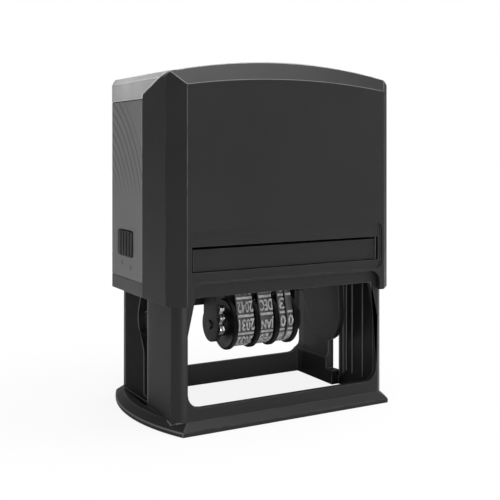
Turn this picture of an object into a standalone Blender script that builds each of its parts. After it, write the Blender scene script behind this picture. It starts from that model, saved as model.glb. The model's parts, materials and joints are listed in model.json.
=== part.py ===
"""Self-inking date stamp: base frame, sliding housing, flipping type carrier, date bands.

Origin at the middle of the base, front towards -Y, up is +Z, metres.
"""

import math

import bmesh
import bpy
from mathutils import Matrix, Vector

# Shared clearances and counts
FITTED_GAP = 0.0003
SLIDE_GAP = 0.0008
OVERCUT = 0.001
ROUND_STEPS = 40
SMALL_ROUND_STEPS = 20
FILLET_STEPS = 5
SMOOTH_ANGLE = math.radians(32)
MERGE_DISTANCE = 1e-6
SLIVER_LENGTH = 1e-7

# Housing shell
COVER_HALF_WIDTH = 0.042
COVER_HALF_DEPTH = 0.028
COVER_WALL = 0.0016
CORNER_CUT = 0.005
ROOF_TOP = 0.115
ROOF_RISE = 0.0045
ROOF_SHOULDER_DROP = 0.0016
ROOF_SHOULDER_WIDTH = 0.0012
FACE_ARCH_DROP = 0.0061
FACE_ARCH_TOP = ROOF_TOP - FACE_ARCH_DROP
FACE_ARCH_RISE = 0.0026
ARCH_STEPS = 16
SEAM_BACK = 0.0044

# Index window and card
WINDOW_THICKNESS = 0.0011
WINDOW_SKIRT = 0.0076
WINDOW_STEP = 0.0015
WINDOW_LOW = ROOF_TOP - ROOF_RISE - WINDOW_SKIRT
WINDOW_SHOULDER = WINDOW_LOW + WINDOW_STEP
CARD_GAP = 0.0002
CARD_INSET = WINDOW_THICKNESS + CARD_GAP
CARD_THICKNESS = 0.00035
CARD_MARGIN = 0.0008

# Yoke that joins the covers, the axles and the springs
YOKE_WALL = 0.0017
YOKE_OUTER = COVER_HALF_WIDTH - COVER_WALL - FITTED_GAP
YOKE_INNER = YOKE_OUTER - YOKE_WALL
YOKE_ARM_FRONT = 0.0022
YOKE_ROOF_DROP = 0.0145
YOKE_ROOF_LOW = ROOF_TOP - YOKE_ROOF_DROP
YOKE_ROOF_HALF_DEPTH = COVER_HALF_DEPTH - CORNER_CUT - CARD_MARGIN
YOKE_END_RADIUS = 0.002
SPRING_CUP_DROP = 0.0113
SPRING_CUP_LOW = ROOF_TOP - SPRING_CUP_DROP
SPRING_CUP_RADIUS = 0.0058
SPRING_PIN_LENGTH = 0.0037
SPRING_PIN_LOW = SPRING_CUP_LOW - SPRING_PIN_LENGTH

# Type carrier, from the axle upwards
AXLE_HEIGHT = 0.042
AXLE_RADIUS = 0.002
AXLE_CLEARANCE = 0.00015
LOBE_RADIUS = 0.010
LOBE_DROP = 0.015
AXLE_EYE_RADIUS = 0.0046
CARRIER_RISE = 0.0027
CARRIER_TOP = AXLE_HEIGHT + CARRIER_RISE
CARRIER_DECK = 0.0018
CARRIER_HALF_DEPTH = 0.0172
CARRIER_LUG = 0.0012
CARRIER_LUG_TOP = CARRIER_TOP + CARRIER_LUG
CARRIER_LUG_HALF_DEPTH = 0.009
CARRIER_OPENING_X = 0.0181
CARRIER_OPENING_Y = 0.0088
TYPE_PLATE = 0.001
TYPE_GAP = 0.00025
TYPE_LIP = 0.0003
DIE_HALF_DEPTH = 0.0175
TYPE_HALF_DEPTH = DIE_HALF_DEPTH + TYPE_LIP
DIE_BASE = 0.0012
DIE_THICKNESS = 0.002
DIE_FACE = CARRIER_TOP + 2 * TYPE_GAP + TYPE_PLATE + DIE_THICKNESS
DIE_OPENING_X = 0.0158
DIE_OPENING_Y = 0.0042
DIE_LINE_HALF = 0.0007
DIE_ROWS = (0.0075, 0.0112, 0.0149)
DIE_ROW_SHARES = (0.92, 0.7, 0.82)
DIE_BORDER = 0.0007

# Ink pad cartridge, over the room that the die's corner sweeps
DIE_SWEEP = 0.0028
FELT_LOW = DIE_FACE + DIE_SWEEP
FELT_GAP = 0.0002
FELT_RIM = 0.0009
FELT_RECESS = 0.0016
TRAY_LOW = FELT_LOW - FELT_RECESS
TRAY_HEIGHT = 0.0072
TRAY_HIGH = TRAY_LOW + TRAY_HEIGHT
TRAY_WALL = 0.0014
TRAY_ROOF = 0.0016
TRAY_STRIP_LIP = 0.0004
TRAY_STRIP_PROUD = 0.0005
TRAY_STRIP_DEPTH = 0.0023
TRAY_REAR_GAP = 0.0014
SLOT_GAP = 0.0003

# Base frame
FRAME_HALF_WIDTH = COVER_HALF_WIDTH - COVER_WALL - SLIDE_GAP
FRAME_HALF_DEPTH = COVER_HALF_DEPTH - COVER_WALL - SLIDE_GAP
YOKE_SLIDE_GAP = 0.0004
FRAME_REAR_HALF_WIDTH = YOKE_INNER - YOKE_SLIDE_GAP
FRAME_CORNER_CUT = 0.0036
FRAME_WALL = 0.002
FRAME_END_WALL = 0.0034
FRAME_INNER_HALF_WIDTH = FRAME_REAR_HALF_WIDTH - FRAME_END_WALL
FRAME_INNER_HALF_DEPTH = FRAME_HALF_DEPTH - FRAME_WALL
TRAY_HEADROOM = 0.0008
DECK_THICKNESS = 0.002
DECK_LOW = TRAY_HIGH + TRAY_HEADROOM
FRAME_TOP = DECK_LOW + DECK_THICKNESS
LEDGE_WIDTH = 0.0011
LEDGE_HALF_WIDTH = FRAME_INNER_HALF_WIDTH - LEDGE_WIDTH
LEDGE_HEIGHT = 0.0015
LEDGE_HIGH = TRAY_LOW - SLOT_GAP
LEDGE_LOW = LEDGE_HIGH - LEDGE_HEIGHT
FRAME_HEADER = 0.0049
FRAME_BOX_LOW = TRAY_LOW - FRAME_HEADER
CHANNEL_FRONT = 0.0027
CHANNEL_BACK = 0.0037
CHANNEL_LOW = 0.0052
CHANNEL_TOP_ROOM = 0.0032
CHANNEL_HIGH = AXLE_HEIGHT + AXLE_RADIUS + CHANNEL_TOP_ROOM
CAM_WAIST_LOW = 0.018
CAM_BELLY_HEIGHT = 0.030
CAM_BELLY = 0.0089
CAM_NECK = 0.0065
CAM_NECK_HEIGHT = 0.039
CAM_STEPS = 8
STUD_RADIUS = 0.0011
STUD_BACK = 0.0072
STUD_HEIGHT = 0.025
STUD_PROUD = 0.0002
VIEW_PAST_INNER = 0.001
VIEW_HALF_WIDTH = FRAME_INNER_HALF_WIDTH + VIEW_PAST_INNER
VIEW_TOP_INSET = 0.0026
VIEW_TOP_HALF_WIDTH = VIEW_HALF_WIDTH - VIEW_TOP_INSET
VIEW_LOW = 0.0075
VIEW_HEADER = 0.0083
VIEW_HIGH = TRAY_LOW - VIEW_HEADER
VIEW_SLANT_HEIGHT = 0.0114
VIEW_SLANT_LOW = VIEW_HIGH - VIEW_SLANT_HEIGHT
VIEW_RADIUS = 0.0045
SPRING_SEAT_RADIUS = 0.0027
SPRING_SEAT_HEIGHT = 0.006

# Cartridge outline, from the frame's inside
TRAY_HALF_WIDTH = FRAME_INNER_HALF_WIDTH - FITTED_GAP
TRAY_STRIP_HALF_WIDTH = TRAY_HALF_WIDTH + TRAY_STRIP_LIP
TRAY_FRONT = FRAME_HALF_DEPTH + TRAY_STRIP_PROUD
TRAY_STRIP_BACK = TRAY_FRONT - TRAY_STRIP_DEPTH
TRAY_BACK = FRAME_INNER_HALF_DEPTH - TRAY_REAR_GAP

# Carrier outline, from the frame's inside
CARRIER_SIDE_GAP = 0.0004
END_PLATE_THICKNESS = 0.0022
END_PLATE_OUTER = LEDGE_HALF_WIDTH - CARRIER_SIDE_GAP
END_PLATE_INNER = END_PLATE_OUTER - END_PLATE_THICKNESS
AXLE_END = 0.0007
AXLE_INNER = END_PLATE_INNER - AXLE_END
TYPE_SIDE_GAP = 0.0006
TYPE_HALF_WIDTH = END_PLATE_INNER - TYPE_SIDE_GAP
DIE_SIDE_LIP = 0.0005
DIE_HALF_WIDTH = TYPE_HALF_WIDTH - DIE_SIDE_LIP

# Front face of the housing
NOTCH_BELOW_TRAY = 0.004
NOTCH_TOP = TRAY_LOW - NOTCH_BELOW_TRAY
NOTCH_RISE = 0.0065
SKIRT_BOTTOM = NOTCH_TOP - NOTCH_RISE
NOTCH_PAST_STRIP = 0.0005
NOTCH_HALF_WIDTH = TRAY_STRIP_HALF_WIDTH + NOTCH_PAST_STRIP
NOTCH_RADIUS = 0.0035
BAND_BELOW_TRAY = 0.0032
BAND_ABOVE_TRAY = 0.0051
BAND_PAST_STRIP = 0.0014
BAND_LOW = TRAY_LOW - BAND_BELOW_TRAY
BAND_HIGH = TRAY_HIGH + BAND_ABOVE_TRAY
BAND_HALF_WIDTH = TRAY_STRIP_HALF_WIDTH + BAND_PAST_STRIP
BAND_DEPTH = 0.0007
BAND_RADIUS = 0.002

# Side panels and lock buttons
PANEL_GROOVE_RISE = 0.0044
PANEL_GROOVE_HEIGHT = SKIRT_BOTTOM + PANEL_GROOVE_RISE
PANEL_GROOVE_WIDTH = 0.0005
PANEL_GROOVE_DEPTH = 0.0004
LOCK_TO_CORNER = 0.0068
LOCK_BACK = COVER_HALF_DEPTH - CORNER_CUT - LOCK_TO_CORNER
LOCK_LENGTH = 0.0126
LOCK_FRONT = LOCK_BACK - LOCK_LENGTH
LOCK_HEIGHT = 0.0083
LOCK_HIGH = FRAME_TOP
LOCK_LOW = LOCK_HIGH - LOCK_HEIGHT
LOCK_PROUD = 0.0005
LOCK_RIBS = 5
LOCK_RIB_DEPTH = 0.0006
LOCK_RIB_SHARE = 0.55
LOCK_CLEARANCE = 0.00025
LOCK_RADIUS = 0.0007
LOCK_RADIUS_STEPS = 2
POCKET_DEPTH = 0.0018
YOKE_ARM_PAST_LOCK = 0.0028
YOKE_ARM_BACK = LOCK_BACK + YOKE_ARM_PAST_LOCK
YOKE_ARM_END = 0.0005
YOKE_ARM_LOW = SKIRT_BOTTOM + YOKE_ARM_END

# Foot flange
FLANGE_LIP = 0.0026
FLANGE_HALF_DEPTH = FRAME_HALF_DEPTH + FLANGE_LIP
FLANGE_END_STEP = 0.0011
FLANGE_STRAIGHT = FRAME_HALF_WIDTH - FLANGE_END_STEP
FLANGE_BULGE = 0.0063
FLANGE_EDGE = 0.0014
FLANGE_TOP = 0.0036
FLANGE_SLOPE = 0.0024
FLANGE_ARC_STEPS = 20

# Date unit
SHAFT_HEIGHT = AXLE_HEIGHT - LOBE_DROP
SHAFT_RADIUS = 0.0015
SHAFT_END = 0.0005
SHAFT_CLEARANCE = 0.00015
DISC_RADIUS = 0.009
DISC_NOTCHES = 28
DISC_NOTCH_DEPTH = 0.0004
NOTCH_START_SHARE = 0.45
NOTCH_FLOOR_SHARE = 0.6
NOTCH_END_SHARE = 0.85
DRUM_RADIUS = 0.0066
BAND_CLEARANCE = 0.0003
BAND_THICKNESS = 0.0009
BAND_RELIEF = 0.0004
BAND_PITCH = 0.0045
BAND_CHARACTER = 0.0032
STATION_SHARE = 0.001
DATE_RECESS = 0.0003
ANVIL_HALF_DEPTH = 0.0024
ANVIL_RADIUS = 0.0011
ANVIL_FOOT = 0.0034
BAND_BUILD = BAND_CLEARANCE + BAND_THICKNESS + BAND_RELIEF
ANVIL_HEIGHT = DIE_FACE - DATE_RECESS - BAND_BUILD - ANVIL_RADIUS
SIDE_PLAY = 0.00015
CHEEK_INNER = 0.0156
CHEEK_THICKNESS = 0.002
CHEEK_OUTER = CHEEK_INNER + CHEEK_THICKNESS
CHEEK_OFFSET = 0.0021
LEFT_CHEEK_INNER = CHEEK_INNER - CHEEK_OFFSET
LEFT_CHEEK_OUTER = LEFT_CHEEK_INNER + CHEEK_THICKNESS
CHEEK_BOTTOM_RADIUS = 0.0058
CHEEK_TOP_HALF_DEPTH = 0.0075
CHEEK_BELOW_DECK = 0.0001
CHEEK_TOP = CARRIER_TOP - CHEEK_BELOW_DECK
CHEEK_SHOULDER = 0.0076
CHEEK_WAIST_HEIGHT = CHEEK_TOP - CHEEK_SHOULDER
CHEEK_NECK_INSET = 0.001
CHEEK_NECK_HALF_DEPTH = CHEEK_BOTTOM_RADIUS - CHEEK_NECK_INSET
HUB_RADIUS = 0.0042
HUB_RING_RADIUS = 0.0056
HUB_RING_WIDTH = 0.0012
DISC_WIDTH = 0.0017
WHEEL_GAP = 0.0002
YEAR_HUB = 0.00275
YEAR_DISC_LEFT = SIDE_PLAY + YEAR_HUB - LEFT_CHEEK_INNER
YEAR_BAND_WIDTH = 0.0066
MONTH_BAND_WIDTH = 0.0055
DAY_BAND_WIDTH = 0.0027

# Heel on the back of the carrier's end plates
HEEL_BEHIND_LOBE = 0.005
HEEL_DEPTH = LOBE_RADIUS + HEEL_BEHIND_LOBE
HEEL_UNDER_AXLE = 0.0015
HEEL_LENGTH = 0.008

# Skirt under the carrier's deck, behind the date unit
BACK_SKIRT_GAP = 0.0006
BACK_SKIRT_THICKNESS = 0.0012
BACK_SKIRT_NEAR = DISC_RADIUS + BACK_SKIRT_GAP
BACK_SKIRT_FAR = BACK_SKIRT_NEAR + BACK_SKIRT_THICKNESS
BACK_SKIRT_OVER_SHAFT = 0.0051
BACK_SKIRT_LOW = SHAFT_HEIGHT + BACK_SKIRT_OVER_SHAFT
BACK_SKIRT_WING = 0.005
BACK_SKIRT_LEFT = -LEFT_CHEEK_OUTER - BACK_SKIRT_WING

# Detent clip on the left cheek
CLIP_WIDTH = 0.0016
CLIP_THICKNESS = 0.0004
CLIP_OFF_CHEEK = 0.0007
CLIP_FRONT = CHEEK_BOTTOM_RADIUS + CLIP_OFF_CHEEK
CLIP_BELOW_SHAFT = 0.0024
CLIP_HEIGHT = 0.0099
CLIP_LOW = SHAFT_HEIGHT - CLIP_BELOW_SHAFT
CLIP_HIGH = CLIP_LOW + CLIP_HEIGHT
CLIP_BEND = 0.0012
CLIP_X = -(LEFT_CHEEK_INNER + LEFT_CHEEK_OUTER) / 2

# Return springs
SPRING_X = 0.022
SPRING_RADIUS = 0.0042
SPRING_WIRE = 0.0006
SPRING_TURNS = 8
SPRING_POINTS = 9
SPRING_SIDES = 6


def clear_scene():
    for thing in list(bpy.data.objects):
        bpy.data.objects.remove(thing, do_unlink=True)


def material(name, colour, roughness, metallic=0.0, transmission=0.0):
    made = bpy.data.materials.new(name)
    made.use_nodes = True
    shader = made.node_tree.nodes["Principled BSDF"]
    shader.inputs["Base Color"].default_value = (*colour, 1.0)
    shader.inputs["Roughness"].default_value = roughness
    shader.inputs["Metallic"].default_value = metallic
    shader.inputs["Transmission Weight"].default_value = transmission
    return made


# Outlines


def arc(centre, radius, start, end, steps):
    """Points on a circle from the start to the end angle."""
    points = []
    for i in range(steps + 1):
        angle = start + (end - start) * i / steps
        points.append((centre[0] + radius * math.cos(angle), centre[1] + radius * math.sin(angle)))
    return points


def circle(centre, radius, steps=ROUND_STEPS):
    return arc(centre, radius, 0, math.tau, steps)[:-1]


def rectangle(low, high):
    return [(low[0], low[1]), (high[0], low[1]), (high[0], high[1]), (low[0], high[1])]


def rounded(points, radius, which=None, steps=FILLET_STEPS):
    """The outline with the chosen corners replaced by arcs of the radius."""
    out = []
    count = len(points)
    for i, here in enumerate(points):
        if which is not None and i not in which:
            out.append(here)
            continue
        p = Vector(here)
        a = (Vector(points[i - 1]) - p).normalized()
        b = (Vector(points[(i + 1) % count]) - p).normalized()
        half = a.angle(b) / 2
        centre = p + (a + b).normalized() * (radius / math.sin(half))
        first = p + a * (radius / math.tan(half)) - centre
        last = p + b * (radius / math.tan(half)) - centre
        start = math.atan2(first.y, first.x)
        turn = math.atan2(last.y, last.x) - start
        turn = (turn + math.pi) % math.tau - math.pi
        out += arc(centre, radius, start, start + turn, steps)
    return out


def hull_outline(points):
    """The convex outline of the points, counter-clockwise."""
    ordered = sorted(set(points))

    def half(run):
        chain = []
        for p in run:
            while len(chain) > 1:
                a, b = chain[-2], chain[-1]
                if (b[0] - a[0]) * (p[1] - a[1]) - (b[1] - a[1]) * (p[0] - a[0]) > 0:
                    break
                chain.pop()
            chain.append(p)
        return chain[:-1]

    return half(ordered) + half(ordered[::-1])


# Solids


def finish_mesh(name, mesh):
    thing = bpy.data.objects.new(name, mesh)
    bpy.context.scene.collection.objects.link(thing)
    return thing


def mesh_from(bm, name):
    bmesh.ops.recalc_face_normals(bm, faces=bm.faces)
    mesh = bpy.data.meshes.new(name)
    bm.to_mesh(mesh)
    bm.free()
    return mesh


def place(point, axis, along):
    """A point of an outline at a distance along the axis that the outline is square to."""
    if axis == "x":
        return (along, point[0], point[1])
    if axis == "y":
        return (point[0], along, point[1])
    return (point[0], point[1], along)


def prism(outline, axis, low, high, name="shape"):
    bm = bmesh.new()
    first = [bm.verts.new(place(p, axis, low)) for p in outline]
    last = [bm.verts.new(place(p, axis, high)) for p in outline]
    bm.faces.new(first)
    bm.faces.new(last)
    count = len(outline)
    for i in range(count):
        j = (i + 1) % count
        bm.faces.new((first[i], first[j], last[j], last[i]))
    return finish_mesh(name, mesh_from(bm, name))


def block(low, high, name="shape"):
    return prism(rectangle(low[:2], high[:2]), "z", low[2], high[2], name)


def rod(axis, centre, radius, low, high, steps=ROUND_STEPS, name="shape"):
    return prism(circle(centre, radius, steps), axis, low, high, name)


def hull(points, name="shape"):
    bm = bmesh.new()
    for p in points:
        bm.verts.new(p)
    bmesh.ops.convex_hull(bm, input=bm.verts)
    loose = [v for v in bm.verts if not v.link_faces]
    bmesh.ops.delete(bm, geom=loose, context="VERTS")
    return finish_mesh(name, mesh_from(bm, name))


def stack(rings, name="shape"):
    """A closed solid through rings of equally many points, the ends capped."""
    bm = bmesh.new()
    rows = [[bm.verts.new(p) for p in ring] for ring in rings]
    bm.faces.new(rows[0])
    bm.faces.new(rows[-1])
    count = len(rows[0])
    for low, high in zip(rows, rows[1:]):
        for i in range(count):
            j = (i + 1) % count
            bm.faces.new((low[i], low[j], high[j], high[i]))
    return finish_mesh(name, mesh_from(bm, name))


def combine(thing, others, operation):
    """Applies one exact Boolean after another and removes the shapes used."""
    for other in others:
        step = thing.modifiers.new("step", "BOOLEAN")
        step.operation = operation
        step.solver = "EXACT"
        step.object = other
        bpy.context.view_layer.update()
        seen = thing.evaluated_get(bpy.context.evaluated_depsgraph_get())
        mesh = bpy.data.meshes.new_from_object(seen)
        thing.modifiers.clear()
        thing.data = mesh
        bpy.data.objects.remove(other, do_unlink=True)
    return thing


def cut(thing, *others):
    return combine(thing, others, "DIFFERENCE")


def join(thing, *others):
    return combine(thing, others, "UNION")


def keep(thing, *others):
    return combine(thing, others, "INTERSECT")


def tidy(thing):
    """Joins corners that a Boolean left on top of each other."""
    bm = bmesh.new()
    bm.from_mesh(thing.data)
    bmesh.ops.remove_doubles(bm, verts=bm.verts, dist=MERGE_DISTANCE)
    bmesh.ops.dissolve_degenerate(bm, dist=SLIVER_LENGTH, edges=bm.edges)
    bm.to_mesh(thing.data)
    bm.free()
    return thing


def named(thing, name, look, origin=(0, 0, 0), smooth=False):
    """Gives a piece its name, material, origin and shading."""
    tidy(thing)
    thing.name = name
    thing.data.name = name
    shift = Vector(origin)
    thing.data.transform(Matrix.Translation(-shift))
    thing.location = shift
    thing.data.materials.clear()
    thing.data.materials.append(look)
    if smooth:
        thing.data.shade_smooth()
        thing.data.set_sharp_from_angle(angle=SMOOTH_ANGLE)
    return thing


# Housing


def roof_height(x, top, rise, half):
    """Height of a shallow arch of the rise over the half width."""
    radius = (half * half + rise * rise) / (2 * rise)
    return top - radius + math.sqrt(radius * radius - x * x)


def housing_solid(inset):
    """The convex outside of the housing, moved inwards by the inset."""
    half_x = COVER_HALF_WIDTH - inset
    half_y = COVER_HALF_DEPTH - inset
    cut_in = CORNER_CUT - inset * (2 - math.sqrt(2))
    low = SKIRT_BOTTOM - (OVERCUT if inset else 0)
    face_half = half_x - cut_in
    points = []
    for side in (-1, 1):
        for x, y in ((face_half, half_y), (half_x, half_y - cut_in)):
            points.append((x, side * y, low))
            points.append((-x, side * y, low))
        for i in range(ARCH_STEPS + 1):
            share = 2 * i / ARCH_STEPS - 1
            x = face_half * share
            z = roof_height(x, FACE_ARCH_TOP, FACE_ARCH_RISE, face_half) - inset
            points.append((x, side * half_y, z))
            x = (half_x - ROOF_SHOULDER_WIDTH) * share
            z = roof_height(x, ROOF_TOP, ROOF_RISE, half_x) - inset
            points.append((x, side * (half_y - cut_in), z))
        edge = roof_height(half_x, ROOF_TOP, ROOF_RISE, half_x) - inset - ROOF_SHOULDER_DROP
        points.append((half_x, side * (half_y - cut_in), edge))
        points.append((-half_x, side * (half_y - cut_in), edge))
    return hull(points, "housing")


def housing_shell(outer, inner):
    return cut(housing_solid(outer), housing_solid(inner))


def index_profile(grow):
    """The side view of the index window; grow widens it for the hole in the covers."""
    front = COVER_HALF_DEPTH - CORNER_CUT + grow
    edge = ROOF_TOP - ROOF_RISE
    return [
        (-front, ROOF_TOP + OVERCUT),
        (-front, edge - grow),
        (-SEAM_BACK - grow, WINDOW_SHOULDER - grow),
        (-SEAM_BACK - grow, WINDOW_LOW - grow),
        (front, WINDOW_LOW - grow),
        (front, ROOF_TOP + OVERCUT),
    ]


def across(outline, name="shape"):
    """A side-view outline as a solid across the whole width."""
    reach = COVER_HALF_WIDTH + OVERCUT
    return prism(outline, "x", -reach, reach, name)


def notch(side):
    """The low window of the skirt, on the front (-1) or the back (1)."""
    outline = rounded(
        rectangle(
            (-NOTCH_HALF_WIDTH, SKIRT_BOTTOM - OVERCUT), (NOTCH_HALF_WIDTH, NOTCH_TOP)
        ),
        NOTCH_RADIUS,
        (2, 3),
    )
    near = COVER_HALF_DEPTH - COVER_WALL - OVERCUT
    far = COVER_HALF_DEPTH + OVERCUT
    return prism(outline, "y", min(side * near, side * far), max(side * near, side * far))


def recessed_band(side):
    outline = rounded(
        rectangle((-BAND_HALF_WIDTH, BAND_LOW), (BAND_HALF_WIDTH, BAND_HIGH)), BAND_RADIUS
    )
    near = COVER_HALF_DEPTH - BAND_DEPTH
    far = COVER_HALF_DEPTH + OVERCUT
    return prism(outline, "y", min(side * near, side * far), max(side * near, side * far))


def front_cover(look):
    shell = housing_shell(0, COVER_WALL)
    back = COVER_HALF_DEPTH + OVERCUT
    region = across(
        rectangle((-back, SKIRT_BOTTOM - OVERCUT), (-SEAM_BACK - FITTED_GAP / 2, ROOF_TOP + OVERCUT))
    )
    shell = keep(shell, region)
    shell = cut(shell, across(index_profile(FITTED_GAP)))
    slot_x = TRAY_STRIP_HALF_WIDTH + SLOT_GAP
    slot = block(
        (-slot_x, -back, TRAY_LOW - SLOT_GAP),
        (slot_x, -TRAY_STRIP_BACK, TRAY_HIGH + SLOT_GAP),
    )
    shell = cut(shell, notch(-1), recessed_band(-1), slot)
    return named(shell, "front_cover", look)


def rear_cover(look):
    shell = housing_shell(0, COVER_WALL)
    back = COVER_HALF_DEPTH + OVERCUT
    panel_back = COVER_HALF_DEPTH - CORNER_CUT
    region = across(
        rectangle((panel_back + FITTED_GAP / 2, SKIRT_BOTTOM - OVERCUT), (back, ROOF_TOP + OVERCUT))
    )
    shell = keep(shell, region)
    shell = cut(shell, across(index_profile(FITTED_GAP)), notch(1), recessed_band(1))
    return named(shell, "rear_cover", look)


def lock_outline(grow):
    return rounded(
        rectangle(
            (LOCK_FRONT - grow, LOCK_LOW - grow), (LOCK_BACK + grow, LOCK_HIGH + grow)
        ),
        LOCK_RADIUS,
        steps=LOCK_RADIUS_STEPS,
    )


def side_block(outline, side, near, far, name="shape"):
    """A side-view outline as a solid between two distances from the middle plane."""
    return prism(outline, "x", min(side * near, side * far), max(side * near, side * far), name)


def side_panel(side, name, look):
    near = COVER_HALF_WIDTH - COVER_WALL
    outline = rectangle(
        (-SEAM_BACK + FITTED_GAP / 2, SKIRT_BOTTOM),
        (COVER_HALF_DEPTH - CORNER_CUT - FITTED_GAP / 2, WINDOW_LOW - FITTED_GAP),
    )
    panel = side_block(outline, side, near, COVER_HALF_WIDTH)
    hole = side_block(lock_outline(LOCK_CLEARANCE), side, near - OVERCUT, COVER_HALF_WIDTH + OVERCUT)
    groove = side_block(
        rectangle(
            (-COVER_HALF_DEPTH, PANEL_GROOVE_HEIGHT),
            (COVER_HALF_DEPTH, PANEL_GROOVE_HEIGHT + PANEL_GROOVE_WIDTH),
        ),
        side,
        COVER_HALF_WIDTH - PANEL_GROOVE_DEPTH,
        COVER_HALF_WIDTH + OVERCUT,
    )
    return named(cut(panel, hole, groove), name, look)


def lock_button(side, name, look):
    near = YOKE_INNER + LOCK_CLEARANCE
    far = COVER_HALF_WIDTH + LOCK_PROUD
    button = side_block(lock_outline(0), side, near, far)
    pitch = (LOCK_BACK - LOCK_FRONT) / LOCK_RIBS
    grooves = []
    for i in range(LOCK_RIBS):
        start = LOCK_FRONT + pitch * (i + LOCK_RIB_SHARE)
        end = start + pitch * (1 - LOCK_RIB_SHARE)
        if i == LOCK_RIBS - 1:
            break
        grooves.append(
            side_block(
                rectangle((start, LOCK_LOW - OVERCUT), (end, LOCK_HIGH + OVERCUT)),
                side,
                far - LOCK_RIB_DEPTH,
                far + OVERCUT,
            )
        )
    middle = ((LOCK_FRONT + LOCK_BACK) / 2, (LOCK_LOW + LOCK_HIGH) / 2)
    return named(cut(button, *grooves), name, look, (side * far, *middle))


def index_window(look):
    shell = housing_shell(0, WINDOW_THICKNESS)
    return named(keep(shell, across(index_profile(0))), "index_window", look)


def index_card(look):
    shell = housing_shell(CARD_INSET, CARD_INSET + CARD_THICKNESS)
    return named(keep(shell, across(index_profile(-CARD_MARGIN))), "index_card", look)


def inner_yoke(look):
    outer = COVER_WALL + FITTED_GAP
    shell = housing_shell(outer, outer + YOKE_WALL)
    reach = YOKE_ROOF_HALF_DEPTH
    outline = [
        (-reach, ROOF_TOP),
        (-reach, YOKE_ROOF_LOW),
        (-YOKE_ARM_FRONT, YOKE_ROOF_LOW),
        (-YOKE_ARM_FRONT, YOKE_ARM_LOW),
        (YOKE_ARM_BACK, YOKE_ARM_LOW),
        (YOKE_ARM_BACK, YOKE_ROOF_LOW),
        (reach, YOKE_ROOF_LOW),
        (reach, ROOF_TOP),
    ]
    yoke = keep(shell, across(rounded(outline, YOKE_END_RADIUS, (3, 4))))
    roof = ROOF_TOP - COVER_WALL - YOKE_WALL - FITTED_GAP
    cups = []
    for side in (-1, 1):
        centre = (side * SPRING_X, 0)
        top = roof_height(SPRING_X, roof, ROOF_RISE, COVER_HALF_WIDTH) + YOKE_WALL / 2
        cups.append(rod("z", centre, SPRING_CUP_RADIUS, SPRING_CUP_LOW, top))
        cups.append(rod("z", centre, SPRING_SEAT_RADIUS, SPRING_PIN_LOW, top, SMALL_ROUND_STEPS))
    yoke = join(yoke, *cups)
    holes = []
    reach = COVER_HALF_WIDTH
    for side in (-1, 1):
        near = FRAME_INNER_HALF_WIDTH
        hole = lock_outline(LOCK_CLEARANCE)
        holes.append(side_block(hole, side, near, reach))
        eye = circle((0, AXLE_HEIGHT), AXLE_RADIUS + AXLE_CLEARANCE, ROUND_STEPS)
        holes.append(side_block(eye, side, near, reach))
    return named(cut(yoke, *holes), "inner_yoke", look, (0, 0, ROOF_TOP))


def axle(side, name, look):
    pin = side_block(circle((0, AXLE_HEIGHT), AXLE_RADIUS), side, AXLE_INNER, YOKE_OUTER)
    return named(pin, name, look, (side * AXLE_INNER, 0, AXLE_HEIGHT), smooth=True)


# Base frame


def flange_ring(height, inset):
    """The foot flange's outline: straight front and back, ends bulging outwards."""
    half_y = FLANGE_HALF_DEPTH - inset
    half_x = FLANGE_STRAIGHT - inset
    bulge = FLANGE_BULGE
    radius = (half_y * half_y + bulge * bulge) / (2 * bulge)
    reach = math.asin(half_y / radius)
    points = []
    for side in (1, -1):
        centre = (side * (half_x + bulge - radius), 0)
        start = -reach if side > 0 else math.pi - reach
        points += arc(centre, radius, start, start + 2 * reach, FLANGE_ARC_STEPS)
    return [(x, y, height) for x, y in points]


def frame_outline():
    front = FRAME_HALF_WIDTH
    rear = FRAME_REAR_HALF_WIDTH
    deep = FRAME_HALF_DEPTH
    cut_in = FRAME_CORNER_CUT
    right = [
        (front - cut_in, -deep),
        (front, -deep + cut_in),
        (front, -CHANNEL_FRONT),
        (rear, -CHANNEL_FRONT),
        (rear, deep - cut_in),
        (rear - cut_in, deep),
    ]
    return right + [(-x, y) for x, y in reversed(right)]


def frame_hollow():
    """The room between the legs, wider in front of the cam channel."""
    front = FRAME_HALF_WIDTH - FRAME_WALL
    rear = FRAME_INNER_HALF_WIDTH
    deep = FRAME_INNER_HALF_DEPTH
    cut_in = FRAME_CORNER_CUT - FRAME_WALL * (2 - math.sqrt(2))
    right = [(front - cut_in, -deep), (front, -deep + cut_in), (front, 0), (rear, 0), (rear, deep)]
    return right + [(-x, y) for x, y in reversed(right)]


def cam_outline():
    """The end channel with the curved rear edge."""
    edge = []
    for i in range(CAM_STEPS + 1):
        share = i / CAM_STEPS
        sweep = (1 - math.cos(math.pi * share)) / 2
        y = CHANNEL_BACK + (CAM_BELLY - CHANNEL_BACK) * sweep
        edge.append((y, CAM_WAIST_LOW + (CAM_BELLY_HEIGHT - CAM_WAIST_LOW) * share))
    for i in range(1, CAM_STEPS + 1):
        share = i / CAM_STEPS
        sweep = (1 - math.cos(math.pi * share)) / 2
        y = CAM_BELLY + (CAM_NECK - CAM_BELLY) * sweep
        edge.append((y, CAM_BELLY_HEIGHT + (CAM_NECK_HEIGHT - CAM_BELLY_HEIGHT) * share))
    start = [(-CHANNEL_FRONT, CHANNEL_LOW), (CHANNEL_BACK, CHANNEL_LOW)]
    end = [(CAM_NECK, CHANNEL_HIGH), (-CHANNEL_FRONT, CHANNEL_HIGH)]
    return start + edge + end


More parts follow.
